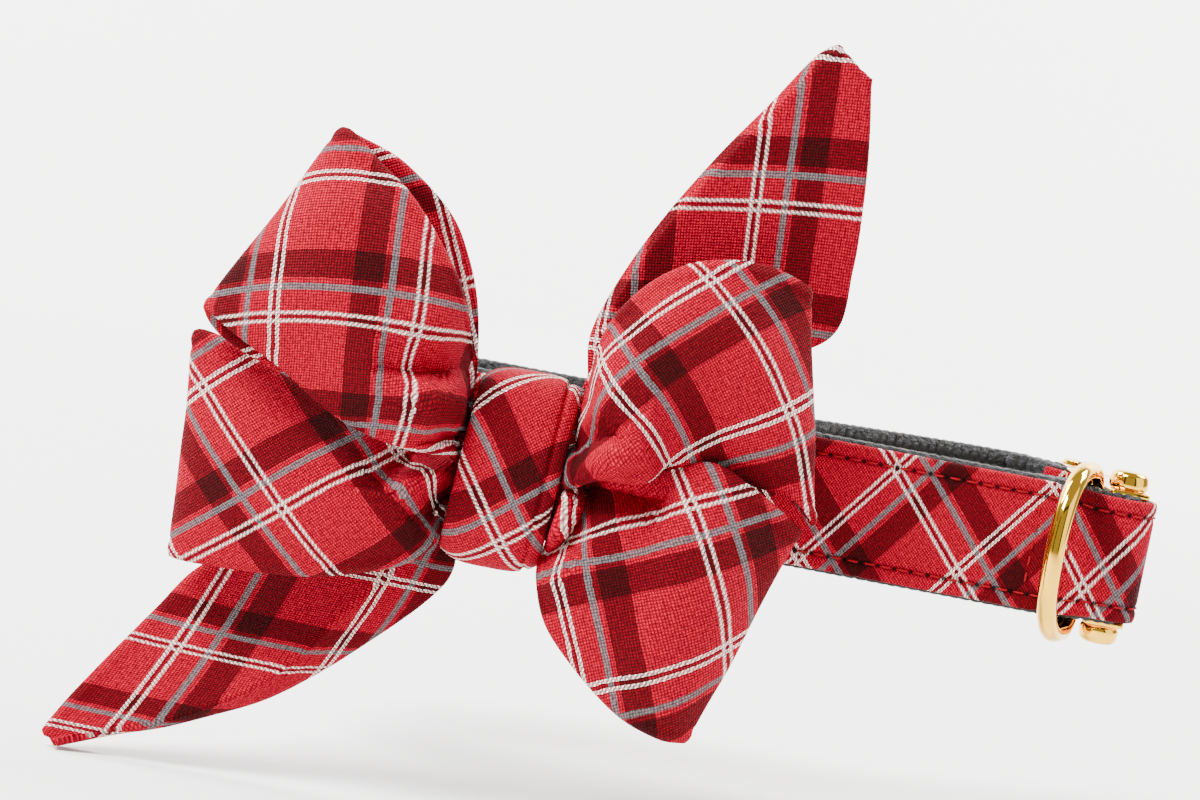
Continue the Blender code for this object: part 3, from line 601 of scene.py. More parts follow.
def hem_profile(width, count, thick):
    """Thickness across a band: a soft roll at each folded edge and a shallow dip behind it."""
    places = np.arange(count) / (count - 1)
    inset = np.minimum(places, 1 - places)[None, :] * width[:, None]
    roll = HEM_ROLL * hump(inset - HEM_ROLL_INSET, HEM_ROLL_REACH)
    dip = HEM_DIP * hump(inset - HEM_DIP_INSET, HEM_DIP_REACH)
    return thick * (1 + roll - dip)


def widths_of(middle):
    """The length of each row of a sheet, from edge to edge."""
    return np.linalg.norm(np.diff(middle, axis=1), axis=2).sum(1)


def upright_band(line, half, columns):
    """The middle surface of a band that stands on edge along a plan line."""
    middle = np.empty((len(line), columns, 3))
    middle[:, :, :2] = line[:, None, :]
    middle[:, :, 2] = half[:, None] * np.linspace(-1, 1, columns)
    return middle


def face_outwards(mesh, merge=False):
    """Turn all faces outwards, after points that lie on each other are merged."""
    builder = bmesh.new()
    builder.from_mesh(mesh)
    if merge:
        bmesh.ops.remove_doubles(builder, verts=builder.verts, dist=CLEARANCE / 100)
    bmesh.ops.recalc_face_normals(builder, faces=builder.faces)
    builder.to_mesh(mesh)
    builder.free()


def cloth_piece(name, middle, thick, uv, material, ring=False, jump=None, seam=None):
    """A closed sheet around its middle surface, with round rims; uv is in metres of cloth.

    A ring's last row lies on its first. After the row of jump the uv of jump is used. Seam gives
    each point's way along the stitching, in stitches, and its distance from it.
    """
    rows, columns = middle.shape[:2]
    along = np.gradient(middle, axis=0)
    across = np.gradient(middle, axis=1)
    if ring:
        along[0] = along[-1] = (middle[1] - middle[-2]) / 2
    along /= np.linalg.norm(along, axis=2)[..., None]
    across /= np.linalg.norm(across, axis=2)[..., None]
    normal = np.cross(along, across)
    normal /= np.linalg.norm(normal, axis=2)[..., None]
    half = (thick / 2)[..., None]
    index = np.arange(rows * columns).reshape(rows, columns)
    outward = np.zeros_like(middle)
    outward[:, 0] -= across[:, 0]
    outward[:, -1] += across[:, -1]
    # How the uv grows with each metre beyond an edge, so that the plaid runs on round the rim.
    growth = np.zeros_like(uv)
    for edge, inner in ((0, 1), (-1, -2)):
        apart = np.linalg.norm(middle[:, edge] - middle[:, inner], axis=1)[:, None]
        growth[:, edge] += (uv[:, edge] - uv[:, inner]) / apart
    if ring:
        chains = [(index[:, 0], False), (index[::-1, -1], False)]
    else:
        outward[0] -= along[0]
        outward[-1] += along[-1]
        for edge, inner in ((0, 1), (-1, -2)):
            apart = np.linalg.norm(middle[edge] - middle[inner], axis=1)[:, None]
            growth[edge] += (uv[edge] - uv[inner]) / apart
        border = np.concatenate((index[0], index[1:, -1], index[-1, -2::-1], index[-2:0:-1, 0]))
        chains = [(border, True)]
    growth /= np.maximum(np.linalg.norm(growth, axis=2) / UV_GROWTH_MOST, 1.0)[..., None]
    points = [(middle + normal * half).reshape(-1, 3), (middle - normal * half).reshape(-1, 3)]
    back = rows * columns
    a, b, c, d = index[:-1, :-1], index[1:, :-1], index[1:, 1:], index[:-1, 1:]
    front_faces = np.stack((a, b, c, d), -1).reshape(-1, 4)
    faces = [front_faces, front_faces[:, ::-1] + back]
    origin = [np.arange(back), np.arange(back)]
    beyond = [np.zeros(back), np.zeros(back)]
    count = 2 * back
    flat_middle, flat_normal = middle.reshape(-1, 3), normal.reshape(-1, 3)
    flat_out, flat_half = outward.reshape(-1, 3), half.reshape(-1, 1)
    for chain, closed in chains:
        out = flat_out[chain] / np.linalg.norm(flat_out[chain], axis=1)[:, None]
        rings = [chain]
        for angle in (45, 90, 135):
            s, c = math.sin(math.radians(angle)), math.cos(math.radians(angle))
            away = out * s + flat_normal[chain] * c
            points.append(flat_middle[chain] + away * flat_half[chain])
            origin.append(chain)
            beyond.append(flat_half[chain, 0] * math.radians(90 - abs(90 - angle)))
            rings.append(np.arange(count, count + len(chain)))
            count += len(chain)
        rings.append(chain + back)
        for near, far in zip(rings, rings[1:]):
            if closed:
                near, far = np.append(near, near[0]), np.append(far, far[0])
            faces.append(np.stack((near[:-1], near[1:], far[1:], far[:-1]), -1))
    points, faces = np.concatenate(points), np.concatenate(faces)
    origin, beyond = np.concatenate(origin), np.concatenate(beyond)[:, None]
    mesh = bpy.data.meshes.new(name)
    mesh.from_pydata(points.tolist(), [], faces.tolist())
    corner_points = faces.reshape(-1)
    shift = growth.reshape(-1, 2)[origin] * beyond
    values = (uv.reshape(-1, 2)[origin] + shift)[corner_points]
    if jump:
        after = np.repeat((origin[faces] // columns).min(1) >= jump[0], 4)
        values[after] = (jump[1].reshape(-1, 2)[origin] + shift)[corner_points][after]
    layer = mesh.uv_layers.new(name="cloth")
    layer.data.foreach_set("uv", values.reshape(-1).astype(np.float32))
    if seam is not None:
        layer = mesh.uv_layers.new(name="seam")
        values = seam.reshape(-1, 2)[origin][corner_points]
        layer.data.foreach_set("uv", values.reshape(-1).astype(np.float32))
    face_outwards(mesh, merge=ring)
    return place(name, mesh, material)


def place(name, mesh, material):
    """A finished piece in the scene, smooth shaded."""
    piece = bpy.data.objects.new(name, mesh)
    bpy.context.scene.collection.objects.link(piece)
    mesh.materials.append(material)
    mesh.shade_smooth()
    return piece


# How the plaid lies on each piece, for the warp and then the weft: where it starts, how it grows
# along and across the piece, and how much it leans there, in repeats and lengths of PLAID_LENGTH.
# The last number is how far along the piece it leans; from there on it runs straight.
PLAID_LENGTH = 0.030
#                            start  along  across  bend   skew   bow
PLAID_LIE = {
    "bow_loop_upper_left": ((-0.70, 0.90, 0.81, -0.05, 0.02, -0.02),
                            (-0.82, 0.71, -0.94, 0.07, 0.13, 0.08), 2.06),
    "bow_loop_lower_left": ((-1.27, 0.97, 0.76, 0.00, 0.02, 0.01),
                            (-0.75, 0.68, -0.94, -0.03, -0.03, -0.09), 2.02),
    "bow_loop_upper_right": ((-1.87, 1.11, -0.22, 0.03, 0.02, 0.14),
                             (0.05, 0.50, 1.24, -0.14, -0.09, -0.06), 1.88),
    "bow_loop_lower_right": ((-1.47, 0.85, -0.69, 0.00, 0.05, 0.05),
                             (-0.34, 0.78, 0.84, -0.06, -0.01, -0.08), 1.98),
    "bow_tail_upper_right": ((-1.20, 0.54, -1.04, -0.02, 0.01, 0.05),
                             (-1.84, 1.02, 0.49, -0.02, 0.02, 0.09), 3.04),
    "bow_tail_lower_left": ((1.22, -0.51, 1.02, 0.06, 0.03, 0.06),
                            (1.96, -0.99, -0.63, -0.07, -0.18, -0.15), 3.01),
    "bow_knot": ((-0.94, 0.71, 0.95, 0.00, 0.00, 0.00),
                 (-1.07, 0.88, -0.75, 0.00, 0.00, 0.00), 0.0),
    "collar_cover": ((1.90, -0.90, 0.78, 0.00, 0.00, 0.00),
                     (2.76, -1.05, -0.79, 0.00, 0.00, 0.00), 0.0),
    "collar_cover fold": ((1.17, -0.96, 0.74, 0.00, 0.00, 0.00),
                          (0.83, -0.92, -0.64, 0.00, 0.00, 0.00), 0.0),
}


def plaid_places(name, flat, repeat):
    """Warp and weft distances, in metres, for the flat places of a piece."""
    *families, reach = PLAID_LIE[name]
    along, across = flat[..., 0] / PLAID_LENGTH, flat[..., 1] / PLAID_LENGTH
    near = np.clip(along, 0, reach)
    bend = near * near + 2 * reach * np.maximum(along - reach, 0)
    parts = np.stack((np.ones_like(along), along, across, bend, near * across, across * across), -1)
    return np.stack([parts @ np.array(family) * repeat for family in families], -1)


# Bow

def gather_rows(side, level, layer):
    """The rows inside the knot where a band is gathered: its end and its way out of the ring."""
    low = KNOT_Z + level * (GATHER_WIDTH / 2 + CLEARANCE * 2) - GATHER_WIDTH / 2
    y = KNOT_FRONT_Y + KNOT_WALL + GATHER_FRONT + GATHER_SPACING * layer
    rows = []
    for x in GATHER_STATIONS:
        place_x = KNOT_X + side * x
        rows.append([place_x, low + GATHER_WIDTH, y, place_x, low, y, 0.0])
    return rows


def placed_loop_rows(table, side, level, layer):
    rows = gather_rows(side, level, layer)
    for upper_out, upper_up, upper_back, lower_out, lower_up, lower_back, belly in table:
        rows.append([KNOT_X + upper_out * BOW_REACH, KNOT_Z + upper_up * BOW_RISE,
                     KNOT_FRONT_Y + upper_back * BOW_PUFF,
                     KNOT_X + lower_out * BOW_REACH, KNOT_Z + lower_up * BOW_RISE,
                     KNOT_FRONT_Y + lower_back * BOW_PUFF, belly * BOW_PUFF])
    return rows + gather_rows(side, level, layer + 1)[::-1]


def crease_depth(middle, grid, creases):
    """How far the creases press the cloth in at each point; grid holds its (along, across)."""
    depth = np.zeros(middle.shape[:2])
    for path, deep, one_side, other_side in creases:
        path = smooth_through(path, 8)
        samples = []
        for along, across in path:
            row = np.argmin(np.abs(grid[:, 0, 0] - along))
            samples.append(middle[row, round(across * (middle.shape[1] - 1))])
        away = np.linalg.norm(middle[:, :, None] - np.array(samples), axis=3)
        nearest = away.argmin(2)
        away = away.min(2)
        ahead = np.gradient(path, axis=0)[nearest]
        offset = grid - path[nearest]
        side = ahead[..., 0] * offset[..., 1] - ahead[..., 1] * offset[..., 0]
        share = nearest / (len(path) - 1)
        fade = np.clip((1 - share) / CREASE_FADE_SHARE, 0, 1) ** CREASE_FADE_POWER
        depth += deep * fade * hump(away, np.where(side < 0, one_side, other_side))
    leave = np.clip(grid[..., 0] / CREASE_START_SHARE, 0, 1)
    return depth * leave * leave * (3 - 2 * leave) * (grid[..., 0] < CREASE_END_SHARE)


def rumpled(middle, seed, height, length):
    """The sheet with slow waves of a few tenths of a millimetre, as handled cloth has."""
    draw = random.Random(seed)
    along = np.gradient(middle, axis=0)
    across = np.gradient(middle, axis=1)
    normal = np.cross(along, across)
    normal /= np.linalg.norm(normal, axis=2)[..., None]
    wave = np.zeros(middle.shape[:2])
    for _ in range(WAVE_COUNT):
        direction = Vector((draw.gauss(0, 1), draw.gauss(0, 1), draw.gauss(0, 1))).normalized()
        spacing = length * draw.uniform(0.6, 1.6)
        turns = middle @ np.array(direction) * 2 * math.pi / spacing
        wave += np.sin(turns + draw.uniform(0, WAVE_PHASE_MOST))
    return middle + normal * (wave * height / math.sqrt(WAVE_COUNT))[..., None]


def loop_sheet(name):
    """The middle surface of a loop, from the knot along the front, round the bend and back."""
    table, side, level, layer, bend_row = LOOPS[name]
    rows = smooth_through(placed_loop_rows(table, side, level, layer), STEPS)
    bend = (bend_row + len(GATHER_STATIONS)) * STEPS
    across = np.arange(LOOP_COLUMNS + 1) / LOOP_COLUMNS
    middle = np.empty((len(rows), len(across), 3))
    for i, (x0, z0, y0, x1, z1, y1, belly) in enumerate(rows):
        stand_off = belly * np.sin(math.pi * across) ** BELLY_FULLNESS
        middle[i, :, 0] = x0 + (x1 - x0) * across
        middle[i, :, 1] = y0 + (y1 - y0) * across - stand_off
        middle[i, :, 2] = z0 + (z1 - z0) * across
    along = (np.arange(len(rows)) - EXIT_ROW) / (bend - EXIT_ROW)
    grid = np.stack(np.meshgrid(along, across, indexing="ij"), -1)
    front = slice(EXIT_ROW, bend)
    middle[front, :, 1] += crease_depth(middle[front], grid[front], CREASES[name])
    shown = rumpled(middle, name, LOOP_WAVE_HEIGHT, LOOP_WAVE_LENGTH)
    middle[EXIT_ROW:-EXIT_ROW] = shown[EXIT_ROW:-EXIT_ROW]
    return middle


def tail_sheet(name):
    """The middle surface of a tail, cut edge to ridge to seamed edge."""
    table, side, level = TAILS[name]
    y = KNOT_FRONT_Y + KNOT_WALL + GATHER_FRONT + GATHER_SPACING * TAIL_GATHER_LAYER
    rows = []
    for x in GATHER_STATIONS:
        place_x = KNOT_X + side * x
        rows.append([place_x, KNOT_Z - level * GATHER_WIDTH * TAIL_GATHER_CUT, y,
                     place_x, KNOT_Z + level * GATHER_WIDTH * TAIL_GATHER_RIDGE, y,
                     place_x, KNOT_Z + level * GATHER_WIDTH, y + TAIL_THICK])
    for row in table:
        placed = []
        for k in (0, 3, 6):
            placed += [KNOT_X + row[k] * BOW_REACH, KNOT_Z + row[k + 1] * BOW_RISE,
                       KNOT_FRONT_Y + row[k + 2] * BOW_PUFF]
        rows.append(placed)
    rows = smooth_through(rows, STEPS)[:, [0, 2, 1, 3, 5, 4, 6, 8, 7]]
    cut, ridge, seam = rows[:, None, 0:3], rows[:, None, 3:6], rows[:, None, 6:9]
    front = np.linspace(0, 1, TAIL_FRONT_COLUMNS, endpoint=False)[None, :, None]
    turn = np.linspace(0, 1, TAIL_TURN_COLUMNS + 1)[None, :, None]
    middle = np.concatenate((cut + (ridge - cut) * front, ridge + (seam - ridge) * turn), axis=1)
    shown = rumpled(middle, name, TAIL_WAVE_HEIGHT, TAIL_WAVE_LENGTH)
    middle[EXIT_ROW:] = shown[EXIT_ROW:]
    return middle


def knot_sheet():
    """The knot's band round the X axis, its last row on its first."""
    lean = math.tan(math.radians(KNOT_LEAN_DEG))
    angle = np.linspace(-math.pi, math.pi, KNOT_ROWS + 1)[:, None]
    power = 2 / KNOT_SQUARENESS
    y = -np.copysign(np.abs(np.cos(angle)) ** power, np.cos(angle)) * (KNOT_DEPTH - KNOT_WALL) / 2
    z = np.copysign(np.abs(np.sin(angle)) ** power, np.sin(angle)) * (KNOT_HEIGHT - KNOT_WALL) / 2
    across = np.linspace(-1, 1, KNOT_COLUMNS)[None, :]
    roll = 1 - KNOT_EDGE_ROLL / (KNOT_DEPTH / 2) * across ** 4
    return np.stack((KNOT_X + across * KNOT_WIDTH / 2 + z * lean,
                     KNOT_FRONT_Y + KNOT_DEPTH / 2 + y * roll, KNOT_Z + z * roll), -1)


def ring_places(middle):
    """Flat places of a band that closes: the way round and the way across."""
    centre = middle.shape[1] // 2
    way = way_along(middle[:, centre])
    span = np.linalg.norm(np.diff(middle, axis=1), axis=2)
    reach = np.concatenate((np.zeros((len(middle), 1)), np.cumsum(span, axis=1)), axis=1)
    reach -= reach[:, centre:centre + 1]
    return np.stack((np.broadcast_to(way[:, None], reach.shape), reach), -1)


# Materials

def add_node(tree, kind, settings=None, links=None):
    """One shader node with its settings and what its sockets are fed by."""
    node = tree.nodes.new(kind)
    for key, value in (settings or {}).items():
        setattr(node, key, value)
    for key, value in (links or {}).items():
        if isinstance(value, bpy.types.NodeSocket):
            tree.links.new(value, node.inputs[key])
        else:
            node.inputs[key].default_value = value
    return node


def new_material(name):
    material = bpy.data.materials.new(name)
    material.use_nodes = True
    tree = material.node_tree
    return material, tree, tree.nodes["Principled BSDF"]


def maths(tree, operation, first, second=0.0, third=0.0):
    node = add_node(tree, "ShaderNodeMath", {"operation": operation},
                    {0: first, 1: second, 2: third})
    return node.outputs[0]


def mixed(tree, blend, share, first, second):
    node = add_node(tree, "ShaderNodeMix", {"data_type": "RGBA", "blend_type": blend},
                    {0: share, 6: first, 7: second})
    return node.outputs[2]


# One repeat of the plaid: where each stripe starts, and its shares of dark, grey and white yarn.
SETT = (
    (0.000, (0.0, 0.0, 0.0)),
    (0.018, (0.0, 0.0, 1.0)),
    (0.044, (0.6, 0.0, 0.0)),
    (0.078, (0.0, 0.0, 1.0)),
    (0.104, (0.0, 0.0, 0.0)),
    (0.248, (0.0, 1.0, 0.0)),
    (0.296, (0.0, 0.0, 0.0)),
    (0.335, (1.0, 0.0, 0.0)),
    (0.525, (0.0, 0.0, 0.0)),
)
SETT_START = 0.061
PLY_PITCH = 0.0009
YARN_WANDER = 0.00024


def stripes(tree, distance, repeat):
    """Shares of dark, grey and white yarn at a distance across the cloth."""
    place_in = maths(tree, "FRACT", maths(tree, "MULTIPLY_ADD", distance, 1 / repeat, SETT_START))
    ramp = add_node(tree, "ShaderNodeValToRGB", None, {0: place_in})
    stops = ramp.color_ramp
    stops.interpolation = "CONSTANT"
    while len(stops.elements) > 1:
        stops.elements.remove(stops.elements[-1])
    stops.elements[0].position = SETT[0][0]
    stops.elements[0].color = (*SETT[0][1], 1)
    for start, shares in SETT[1:]:
        stops.elements.new(start).color = (*shares, 1)
    return add_node(tree, "ShaderNodeSeparateColor", None, {0: ramp.outputs[0]}).outputs


def tartan(name, sewn=False):
    """Yarn-dyed cotton crepe in plain weave: matt, with a soft bloom and lines of twisted yarn."""
    cloth = bpy.context.scene.collar_cloth
    material, tree, shader = new_material(name)
    uv = add_node(tree, "ShaderNodeUVMap", {"uv_map": "cloth"}).outputs[0]
    # Crepe yarns wander by about a tenth of a millimetre, over about a millimetre.
    wander = add_node(tree, "ShaderNodeTexNoise", {"noise_dimensions": "2D"},
                      {"Vector": uv, "Scale": 1000.0, "Detail": 1.0}).outputs["Color"]
    moved = add_node(tree, "ShaderNodeVectorMath", {"operation": "MULTIPLY_ADD"},
                     {0: wander, 1: (YARN_WANDER, YARN_WANDER, 0.0), 2: uv}).outputs[0]
    parts = add_node(tree, "ShaderNodeSeparateXYZ", None, {0: moved}).outputs
    warp = stripes(tree, parts[0], cloth.repeat)
    weft = stripes(tree, parts[1], cloth.repeat)
    turn = math.pi / cloth.thread
    wave = [maths(tree, "SINE", maths(tree, "MULTIPLY", parts[k], turn)) for k in (0, 1)]
    crossing = maths(tree, "MULTIPLY", wave[0], wave[1])
    # The white and grey lines are plied yarns: their strands slant across the line as dashes.
    slant = maths(tree, "SINE", maths(tree, "MULTIPLY", maths(tree, "ADD", parts[0], parts[1]),
                                      2 * math.pi / PLY_PITCH))
    plied = add_node(tree, "ShaderNodeMapRange", {"interpolation_type": "SMOOTHSTEP"},
                     {0: slant, 1: -0.6, 2: 0.5, 3: 0.20, 4: 1.0}).outputs[0]
    even = maths(tree, "MULTIPLY_ADD", plied, 0.30, 0.66)
    ground = (*cloth.ground, 1)
    dark = (*cloth.dark, 1)
    colour = mixed(tree, "MULTIPLY", warp[0], ground, dark)
    colour = mixed(tree, "MULTIPLY", weft[0], colour, dark)
    for yarn, shown, tone in ((1, even, cloth.grey), (2, plied, cloth.white)):
        for family in (weft, warp):
            cover = maths(tree, "MULTIPLY", shown, family[yarn])
            colour = mixed(tree, "MIX", cover, colour, (*tone, 1))
    # Threads are rounded: their middles get a painted highlight and the gaps between them painted
    # shade.
    # The crepe's raised bumps of about 0.7 mm are painted lighter and its hollows darker, as
    # painted light, and the same noise shapes the bump. Both are coarser than real ones, to show.
    height = maths(tree, "ABSOLUTE", crossing)
    crepe_relief = add_node(tree, "ShaderNodeTexNoise", {"noise_dimensions": "2D"},
                     {"Vector": uv, "Scale": 1500.0, "Detail": 2.0}).outputs[0]
    light = maths(tree, "MULTIPLY_ADD", height, 1.25, 0.36)
    light = maths(tree, "MULTIPLY", light, maths(tree, "MULTIPLY_ADD", crepe_relief, 1.5, 0.30))
    # Sewn cloth also gets the painted shade of its stitch rows.
    if sewn:
        light = maths(tree, "MULTIPLY", light, seam_shade(tree))
    scaled = add_node(tree, "ShaderNodeVectorMath", {"operation": "SCALE"},
                      {0: colour, "Scale": light})
    tree.links.new(scaled.outputs[0], shader.inputs["Base Color"])
    bump = add_node(tree, "ShaderNodeBump", None,
                    {"Strength": 0.8, "Distance": 0.00028,
                     "Height": maths(tree, "ADD", height, maths(tree, "MULTIPLY", crepe_relief, 1.2))})
    tree.links.new(bump.outputs[0], shader.inputs["Normal"])
    shader.inputs["Roughness"].default_value = 0.82
    shader.inputs["Specular IOR Level"].default_value = 0.06
    shader.inputs["Sheen Weight"].default_value = 0.05
    shader.inputs["Sheen Roughness"].default_value = 0.40
    shader.inputs["Sheen Tint"].default_value = (*linear("#C02A38"), 1)
    return material


def seam_shade(tree):
    """Painted shade along a row of stitches: a soft dark groove, and a dark needle hole between two
    stitches.
    """
    pitch = bpy.context.scene.collar_strap.stitch
    seam = add_node(tree, "ShaderNodeUVMap", {"uv_map": "seam"}).outputs[0]
    parts = add_node(tree, "ShaderNodeSeparateXYZ", None, {0: seam}).outputs
    stitch = maths(tree, "FRACT", maths(tree, "ADD", parts[0], 0.5))
    along = maths(tree, "MULTIPLY", maths(tree, "SUBTRACT", stitch, 0.5), pitch)
    away = maths(tree, "SQRT", maths(tree, "ADD", maths(tree, "MULTIPLY", along, along),
                                     maths(tree, "MULTIPLY", parts[1], parts[1])))
    hole = add_node(tree, "ShaderNodeMapRange", {"interpolation_type": "SMOOTHSTEP"},
                    {0: away, 1: 0.00025, 2: 0.00065, 3: 0.10, 4: 1.0}).outputs[0]
    groove = add_node(tree, "ShaderNodeMapRange", {"interpolation_type": "SMOOTHSTEP"},
                      {0: maths(tree, "ABSOLUTE", parts[1]), 1: 0.0002, 2: 0.0010, 3: 0.62, 4: 1.0})
    return maths(tree, "MULTIPLY", hole, groove.outputs[0])


def nylon_webbing():
    """Solution-dyed nylon, woven with raised knobs: charcoal, faintly glossy, with a painted
    highlight on each.
    """
    material, tree, shader = new_material("knobbed nylon webbing")
    place_in = add_node(tree, "ShaderNodeTexCoord").outputs["Object"]
    # Yarn bundles of about 0.9 mm with filaments on them, coarser than real ones, to show.
    bundles = add_node(tree, "ShaderNodeTexVoronoi", {"feature": "SMOOTH_F1"},
                       {"Vector": place_in, "Scale": 1100.0}).outputs["Distance"]
    strands = add_node(tree, "ShaderNodeTexNoise", None,
                       {"Vector": place_in, "Scale": 2600.0, "Detail": 3.0}).outputs[0]
    height = maths(tree, "MULTIPLY_ADD", bundles, -1.2, strands)
    # Painted light and shade: the knobs' tops are painted lighter, and the gaps round them and
    # between the yarn bundles darker.
    uv = add_node(tree, "ShaderNodeUVMap", {"uv_map": "cloth"}).outputs[0]
    parts = add_node(tree, "ShaderNodeSeparateXYZ", None, {0: uv}).outputs
    wave = [maths(tree, "SINE", maths(tree, "MULTIPLY", parts[k], math.pi)) for k in (0, 1)]
    knob = maths(tree, "ABSOLUTE", maths(tree, "MULTIPLY", wave[0], wave[1]))
    tone = maths(tree, "MULTIPLY_ADD", knob, 3.0, maths(tree, "MULTIPLY_ADD", bundles, -1.2, 0.7))
    nylon = tuple(bpy.context.scene.collar_strap.nylon)
    scaled = add_node(tree, "ShaderNodeVectorMath", {"operation": "SCALE"},
                      {0: nylon, "Scale": maths(tree, "MAXIMUM", tone, 0.12)})
    tree.links.new(scaled.outputs[0], shader.inputs["Base Color"])
    bump = add_node(tree, "ShaderNodeBump", None,
                    {"Strength": 0.9, "Distance": 0.0005, "Height": height})
    tree.links.new(bump.outputs[0], shader.inputs["Normal"])
    shader.inputs["Roughness"].default_value = 0.45
    shader.inputs["Specular IOR Level"].default_value = 0.25
    return material


def black_elastic():
    """Braided elastic: nearly black and matt, with the slant of its braid on every rib.

    The slants lie about 1.5 mm apart.
    """
    material, tree, shader = new_material("braided black elastic")
    place_in = add_node(tree, "ShaderNodeTexCoord").outputs["Object"]
    braid = add_node(tree, "ShaderNodeTexWave", {"bands_direction": "DIAGONAL"},
                     {"Vector": place_in, "Scale": 420.0, "Distortion": 0.6}).outputs[1]
    bump = add_node(tree, "ShaderNodeBump", None,
                    {"Strength": 0.7, "Distance": 0.0002, "Height": braid})
    tree.links.new(bump.outputs[0], shader.inputs["Normal"])
    shader.inputs["Base Color"].default_value = (*linear("#141416"), 1)
    shader.inputs["Roughness"].default_value = 0.8
    shader.inputs["Specular IOR Level"].default_value = 0.2
    return material


def sewing_thread():
    """Glazed cotton thread in the cloth's red."""
    material, tree, shader = new_material("red sewing thread")
    shader.inputs["Base Color"].default_value = (*bpy.context.scene.collar_strap.cotton, 1)
    shader.inputs["Roughness"].default_value = 0.8
    shader.inputs["Specular IOR Level"].default_value = 0.12
    return material


def gold_plate(name):
    """Gold plate on tumbled metal: a mirror that waves slightly, over about 5 mm."""
    metal = bpy.context.scene.collar_metal
    material, tree, shader = new_material(name)
    place_in = add_node(tree, "ShaderNodeTexCoord").outputs["Object"]
    uneven = add_node(tree, "ShaderNodeTexNoise", None,
                      {"Vector": place_in, "Scale": 180.0, "Detail": 1.0}).outputs[0]
    bump = add_node(tree, "ShaderNodeBump", None,
                    {"Strength": 0.25, "Distance": 0.0003, "Height": uneven})
    tree.links.new(bump.outputs[0], shader.inputs["Normal"])
    shader.inputs["Base Color"].default_value = (*metal.gold, 1)
    shader.inputs["Metallic"].default_value = 1.0
    shader.inputs["Roughness"].default_value = metal.roughness
    return material


def painted(name, hex_colour):
    """Matt paint for the studio."""
    material, tree, shader = new_material(name)
    shader.inputs["Base Color"].default_value = (*linear(hex_colour), 1)
    shader.inputs["Roughness"].default_value = 0.9
    return material


# Operators

def declare(piece, body, slot_name, *nodes):
    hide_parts(*nodes)
    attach(piece, body)


class COLLAR_OT_loops(bpy.types.Operator):
    """Make the bow's four loops of tartan cloth"""
    bl_idname = "collar.loops"
    bl_label = "Bow loops"

    def execute(self, context):
        repeat = context.scene.collar_cloth.repeat
        cloth = tartan("tartan cotton crepe, loops")
        for name in LOOPS:
            middle = loop_sheet(name)
            places = plaid_places(name, spread_flat(middle, (EXIT_ROW, EXIT_ROW)), repeat)
            thick = hem_profile(widths_of(middle), middle.shape[1], CLOTH_THICK)
            piece = cloth_piece(f"{name}_cloth", middle, thick, places, cloth)
            declare(piece, "collar", "loops", name)
        return {"FINISHED"}


class COLLAR_OT_tails(bpy.types.Operator):
    """Make the bow's two pointed tails of tartan cloth"""
    bl_idname = "collar.tails"
    bl_label = "Bow tails"

    def execute(self, context):
        repeat = context.scene.collar_cloth.repeat
        cloth = tartan("tartan cotton crepe, tails")
        for name in TAILS:
            middle = tail_sheet(name)
            places = plaid_places(name, spread_flat(middle, (EXIT_ROW, 0)), repeat)
            thick = hem_profile(widths_of(middle), middle.shape[1], TAIL_THICK)
            # A seam is sewn just behind the ridge.
            thick[:, TAIL_FRONT_COLUMNS + 1] *= TAIL_SEAM_THICK
            piece = cloth_piece(f"{name}_cloth", middle, thick, places, cloth)
            declare(piece, "collar", "tails", name)
        return {"FINISHED"}


class COLLAR_OT_knot(bpy.types.Operator):
    """Make the knot that is wrapped round the bow's middle"""
    bl_idname = "collar.knot"
    bl_label = "Bow knot"

    def execute(self, context):
        cloth = tartan("tartan cotton crepe, knot")
        middle = knot_sheet()
        places = plaid_places("bow_knot", ring_places(middle), context.scene.collar_cloth.repeat)
        # The band's own seam runs down its right side, a little in from the edge.
        across = np.linspace(-1, 1, KNOT_COLUMNS)
        seam = 1 - KNOT_SEAM_DIP * hump(across - KNOT_SEAM_ACROSS, KNOT_SEAM_REACH)
        thick = KNOT_WALL * seam * np.ones((len(middle), 1))
        piece = cloth_piece("bow_knot_cloth", middle, thick, places, cloth, ring=True)
        declare(piece, "collar", "knot", "bow_knot")
        return {"FINISHED"}


def cover_path():
    """The cover's plan line, its half width, the way along it, and where its seam lies."""
    line, _ = even_plan(strap_plan(), STRAP_STEP)
    line = line + left_of(line) * COVER_OFFSET
    inside = np.nonzero(line[:, 0] > FRONT_BAR_X - COVER_END_LENGTH)[0]
    line = line[inside[0]:inside[-1] + 1]
    half = np.array([width_at(x, STRAP_WIDTH - 2 * COVER_MARGIN) / 2 for x in line[:, 0]])
    way = way_along(line)
    front = np.nonzero(np.abs(line[:, 1] - (FRONT_STRAND_Y - COVER_OFFSET)) < CLEARANCE)[0]
    groove = int(front[np.argmin(np.abs(line[front, 0] - COVER_SEAM_X))])
    return line, half, way, groove


